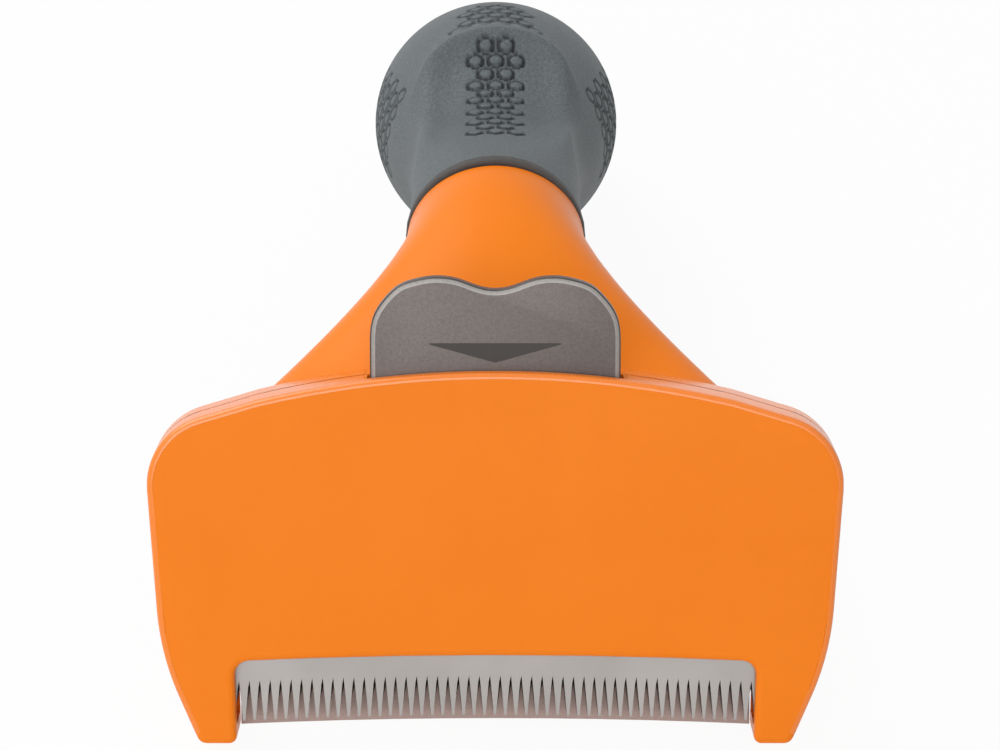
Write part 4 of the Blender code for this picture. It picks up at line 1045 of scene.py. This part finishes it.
def button_metal(kind):
    """Satin metal for the button's face, with painted shade on the rolled rim and a painted highlight on the
    chamfer.
    """
    tones_with_painted_light = {
        "face": (rgb(94, 87, 84), rgb(104, 96, 93), 0.42, 0.55, 0.35),
        # The rim's colour is darker than the face's as painted shade
        "rim": (rgb(64, 59, 57), rgb(76, 70, 68), 0.35, 0.5, 0.6),
        # The chamfer's colour is lighter than the face's as a painted highlight
        "chamfer": (rgb(142, 138, 134), rgb(152, 147, 143), 0.42, 0.52, 0.4),
    }
    dark, light, low, high, metallic = tones_with_painted_light[kind]
    material, nodes, shader = new_material("button_" + kind)
    place = nodes.head_place()
    grain = nodes.noise(place, 3200.0, 3.0)
    brushed = nodes.noise(nodes.stretched(place, (500.0, 500.0, 5000.0)), 1.0, 3.0)
    nodes.feed(shader, {
        "Base Color": nodes.ramp(grain, (0.35, dark), (0.65, light)),
        "Metallic": metallic,
        "Roughness": nodes.span(brushed, low, high),
        "Normal": nodes.bump(grain, 0.008 * MM, 0.5),
    })
    return material


def arrow_print():
    material, nodes, shader = new_material("arrow_print")
    grain = nodes.noise(nodes.head_place(), 2500.0, 2.0)
    colour = nodes.ramp(grain, (0.3, rgb(42, 38, 36)), (0.7, rgb(50, 45, 42)))
    nodes.feed(shader, {"Base Color": colour, "Roughness": nodes.span(grain, 0.5, 0.65)})
    return material


def plain_plastic():
    material, nodes, shader = new_material("core_plastic")
    grain = nodes.noise(nodes.head_place(), 900.0, 3.0)
    colour = nodes.ramp(grain, (0.3, (0.045, 0.045, 0.047)), (0.7, (0.06, 0.06, 0.062)))
    nodes.feed(shader, {"Base Color": colour, "Roughness": nodes.span(grain, 0.45, 0.6)})
    return material


def zinc():
    material, nodes, shader = new_material("zinc_plate")
    grain = nodes.noise(nodes.head_place(), 1400.0, 3.0)
    colour = nodes.ramp(grain, (0.3, (0.50, 0.50, 0.51)), (0.7, (0.62, 0.62, 0.62)))
    nodes.feed(shader, {
        "Base Color": colour, "Metallic": 1.0, "Roughness": nodes.span(grain, 0.28, 0.42),
    })
    return material


def dress(material, *names):
    for name in names:
        node = frame["nodes"][name]
        node.data.materials.clear()
        node.data.materials.append(material)
        node.data.shade_smooth()
        node.data.set_sharp_from_angle(angle=math.radians(32.0))


def named(part_of_name):
    return [name for name in frame["nodes"] if part_of_name in name]


def dress_nodes():
    orange = orange_plastic("orange_plastic", 0.14, 0.3)
    dress(orange, "front_shell", "rear_housing")
    make_rims(orange_plastic("orange_rim", 0.7, 0.22))
    make_neck(orange)
    dress(blade_steel(), "blade")
    dress(satin_metal("ejector_satin", (0.25, 0.178, 0.158), (0.29, 0.212, 0.188)), "ejector_plate")
    ring = rubber("ring_rubber", rgb(70, 67, 65), rgb(84, 80, 77))
    dress(ring, "collar_ring")
    make_lining(ring)
    dress(plain_plastic(), "handle_core")
    dress(zinc(), *named("rivet"), *named("spring_pin"))


# ---------------------------------------------------------------- stage, light and camera

# The world's strength in front of the tool and behind it
WORLD_FRONT = 0.22
WORLD_BACK = 0.5
FLOOR_SIZE = 6.0
FLOOR_DROP = 0.2 * MM
FLOOR_WHITE = 0.94
# Both lamps: place, size and power
LAMPS = {
    "front_soft": ((-0.2, -0.95, 0.65), (1.0, 0.7), 6.7),
    "top_soft": ((-0.55, 0.3, 0.9), (0.9, 0.7), 6.4),
}
LAMP_TARGET = (0.0, -0.03, 0.03)


def show_white(tree, shader, amount):
    """Mixes plain white into what the camera, glass and gloss see of a surface."""
    nodes = Nodes(tree)
    path = nodes.add("ShaderNodeLightPath")
    seen = path.outputs["Is Camera Ray"]
    for ray in ("Is Transmission Ray", "Is Glossy Ray"):
        either = nodes.add("ShaderNodeMath", operation="MAXIMUM")
        nodes.feed(either, {0: seen, 1: path.outputs[ray]})
        seen = either.outputs["Value"]
    share = nodes.add("ShaderNodeMath", operation="MULTIPLY")
    nodes.feed(share, {0: seen, 1: amount})
    white = nodes.add("ShaderNodeEmission")
    nodes.feed(white, {"Color": (1.0, 1.0, 1.0, 1.0), "Strength": 1.0})
    mix = nodes.add("ShaderNodeMixShader")
    nodes.feed(mix, {0: share.outputs["Value"], 1: shader, 2: white.outputs["Emission"]})
    return mix.outputs["Shader"]


def make_floor():
    size = FLOOR_SIZE
    mesh = bpy.data.meshes.new("floor")
    corners = [(-size, -size, 0.0), (size, -size, 0.0), (size, size, 0.0), (-size, size, 0.0)]
    mesh.from_pydata(corners, [], [(0, 1, 2, 3)])
    floor = bpy.data.objects.new("floor", mesh)
    floor.location.z = -FLOOR_DROP
    bpy.context.scene.collection.objects.link(floor)
    material, nodes, shader = new_material("floor_white")
    nodes.feed(shader, {"Base Color": (0.85, 0.85, 0.85, 1.0), "Roughness": 0.8})
    output = material.node_tree.nodes["Material Output"]
    seen = show_white(material.node_tree, shader.outputs["BSDF"], FLOOR_WHITE)
    nodes.link(seen, output.inputs["Surface"])
    mesh.materials.append(material)


def make_world():
    """White behind the tool, dimmer towards the front, as in a studio."""
    world = bpy.data.worlds.new("studio")
    world.use_nodes = True
    bpy.context.scene.world = world
    nodes = Nodes(world.node_tree)
    background = world.node_tree.nodes["Background"]
    background.inputs["Color"].default_value = (0.95, 0.97, 1.0, 1.0)
    direction = nodes.add("ShaderNodeTexCoord").outputs["Generated"]
    split = nodes.add("ShaderNodeSeparateXYZ")
    nodes.link(direction, split.inputs["Vector"])
    strength = nodes.span(split.outputs["Y"], WORLD_FRONT, WORLD_BACK, -0.7, 0.6)
    nodes.link(strength, background.inputs["Strength"])
    output = world.node_tree.nodes["World Output"]
    seen = show_white(world.node_tree, background.outputs["Background"], 1.0)
    nodes.link(seen, output.inputs["Surface"])


def add_light(name, place, size, power):
    light = bpy.data.lights.new(name, "AREA")
    light.shape = "RECTANGLE"
    light.size = size[0]
    light.size_y = size[1]
    light.energy = power
    obj = bpy.data.objects.new(name, light)
    obj.location = place
    aim = Vector(LAMP_TARGET) - Vector(place)
    obj.rotation_euler = aim.to_track_quat("-Z", "Y").to_euler()
    bpy.context.scene.collection.objects.link(obj)


def make_lights():
    for name, (place, size, power) in LAMPS.items():
        add_light(name, place, size, power)


def make_camera():
    data = bpy.data.cameras.new("photo_camera")
    data.sensor_width = SENSOR_WIDTH
    data.lens = FOCAL_PIXELS * SENSOR_WIDTH / IMAGE_WIDTH
    data.clip_start = 0.01
    camera = bpy.data.objects.new("photo_camera", data)
    bpy.context.scene.collection.objects.link(camera)
    level = Matrix.Rotation(math.radians(90.0) - CAMERA_TILT, 4, "X")
    camera.matrix_world = HEAD @ Matrix.Translation(CAMERA_PLACE) @ level
    bpy.context.scene.camera = camera


def main():
    dress_nodes()
    make_grip()
    make_button()
    make_arrow()
    make_screws()
    make_springs()
    make_floor()
    make_world()
    make_lights()
    make_camera()
    bpy.context.scene.view_settings.view_transform = "Standard"


main()
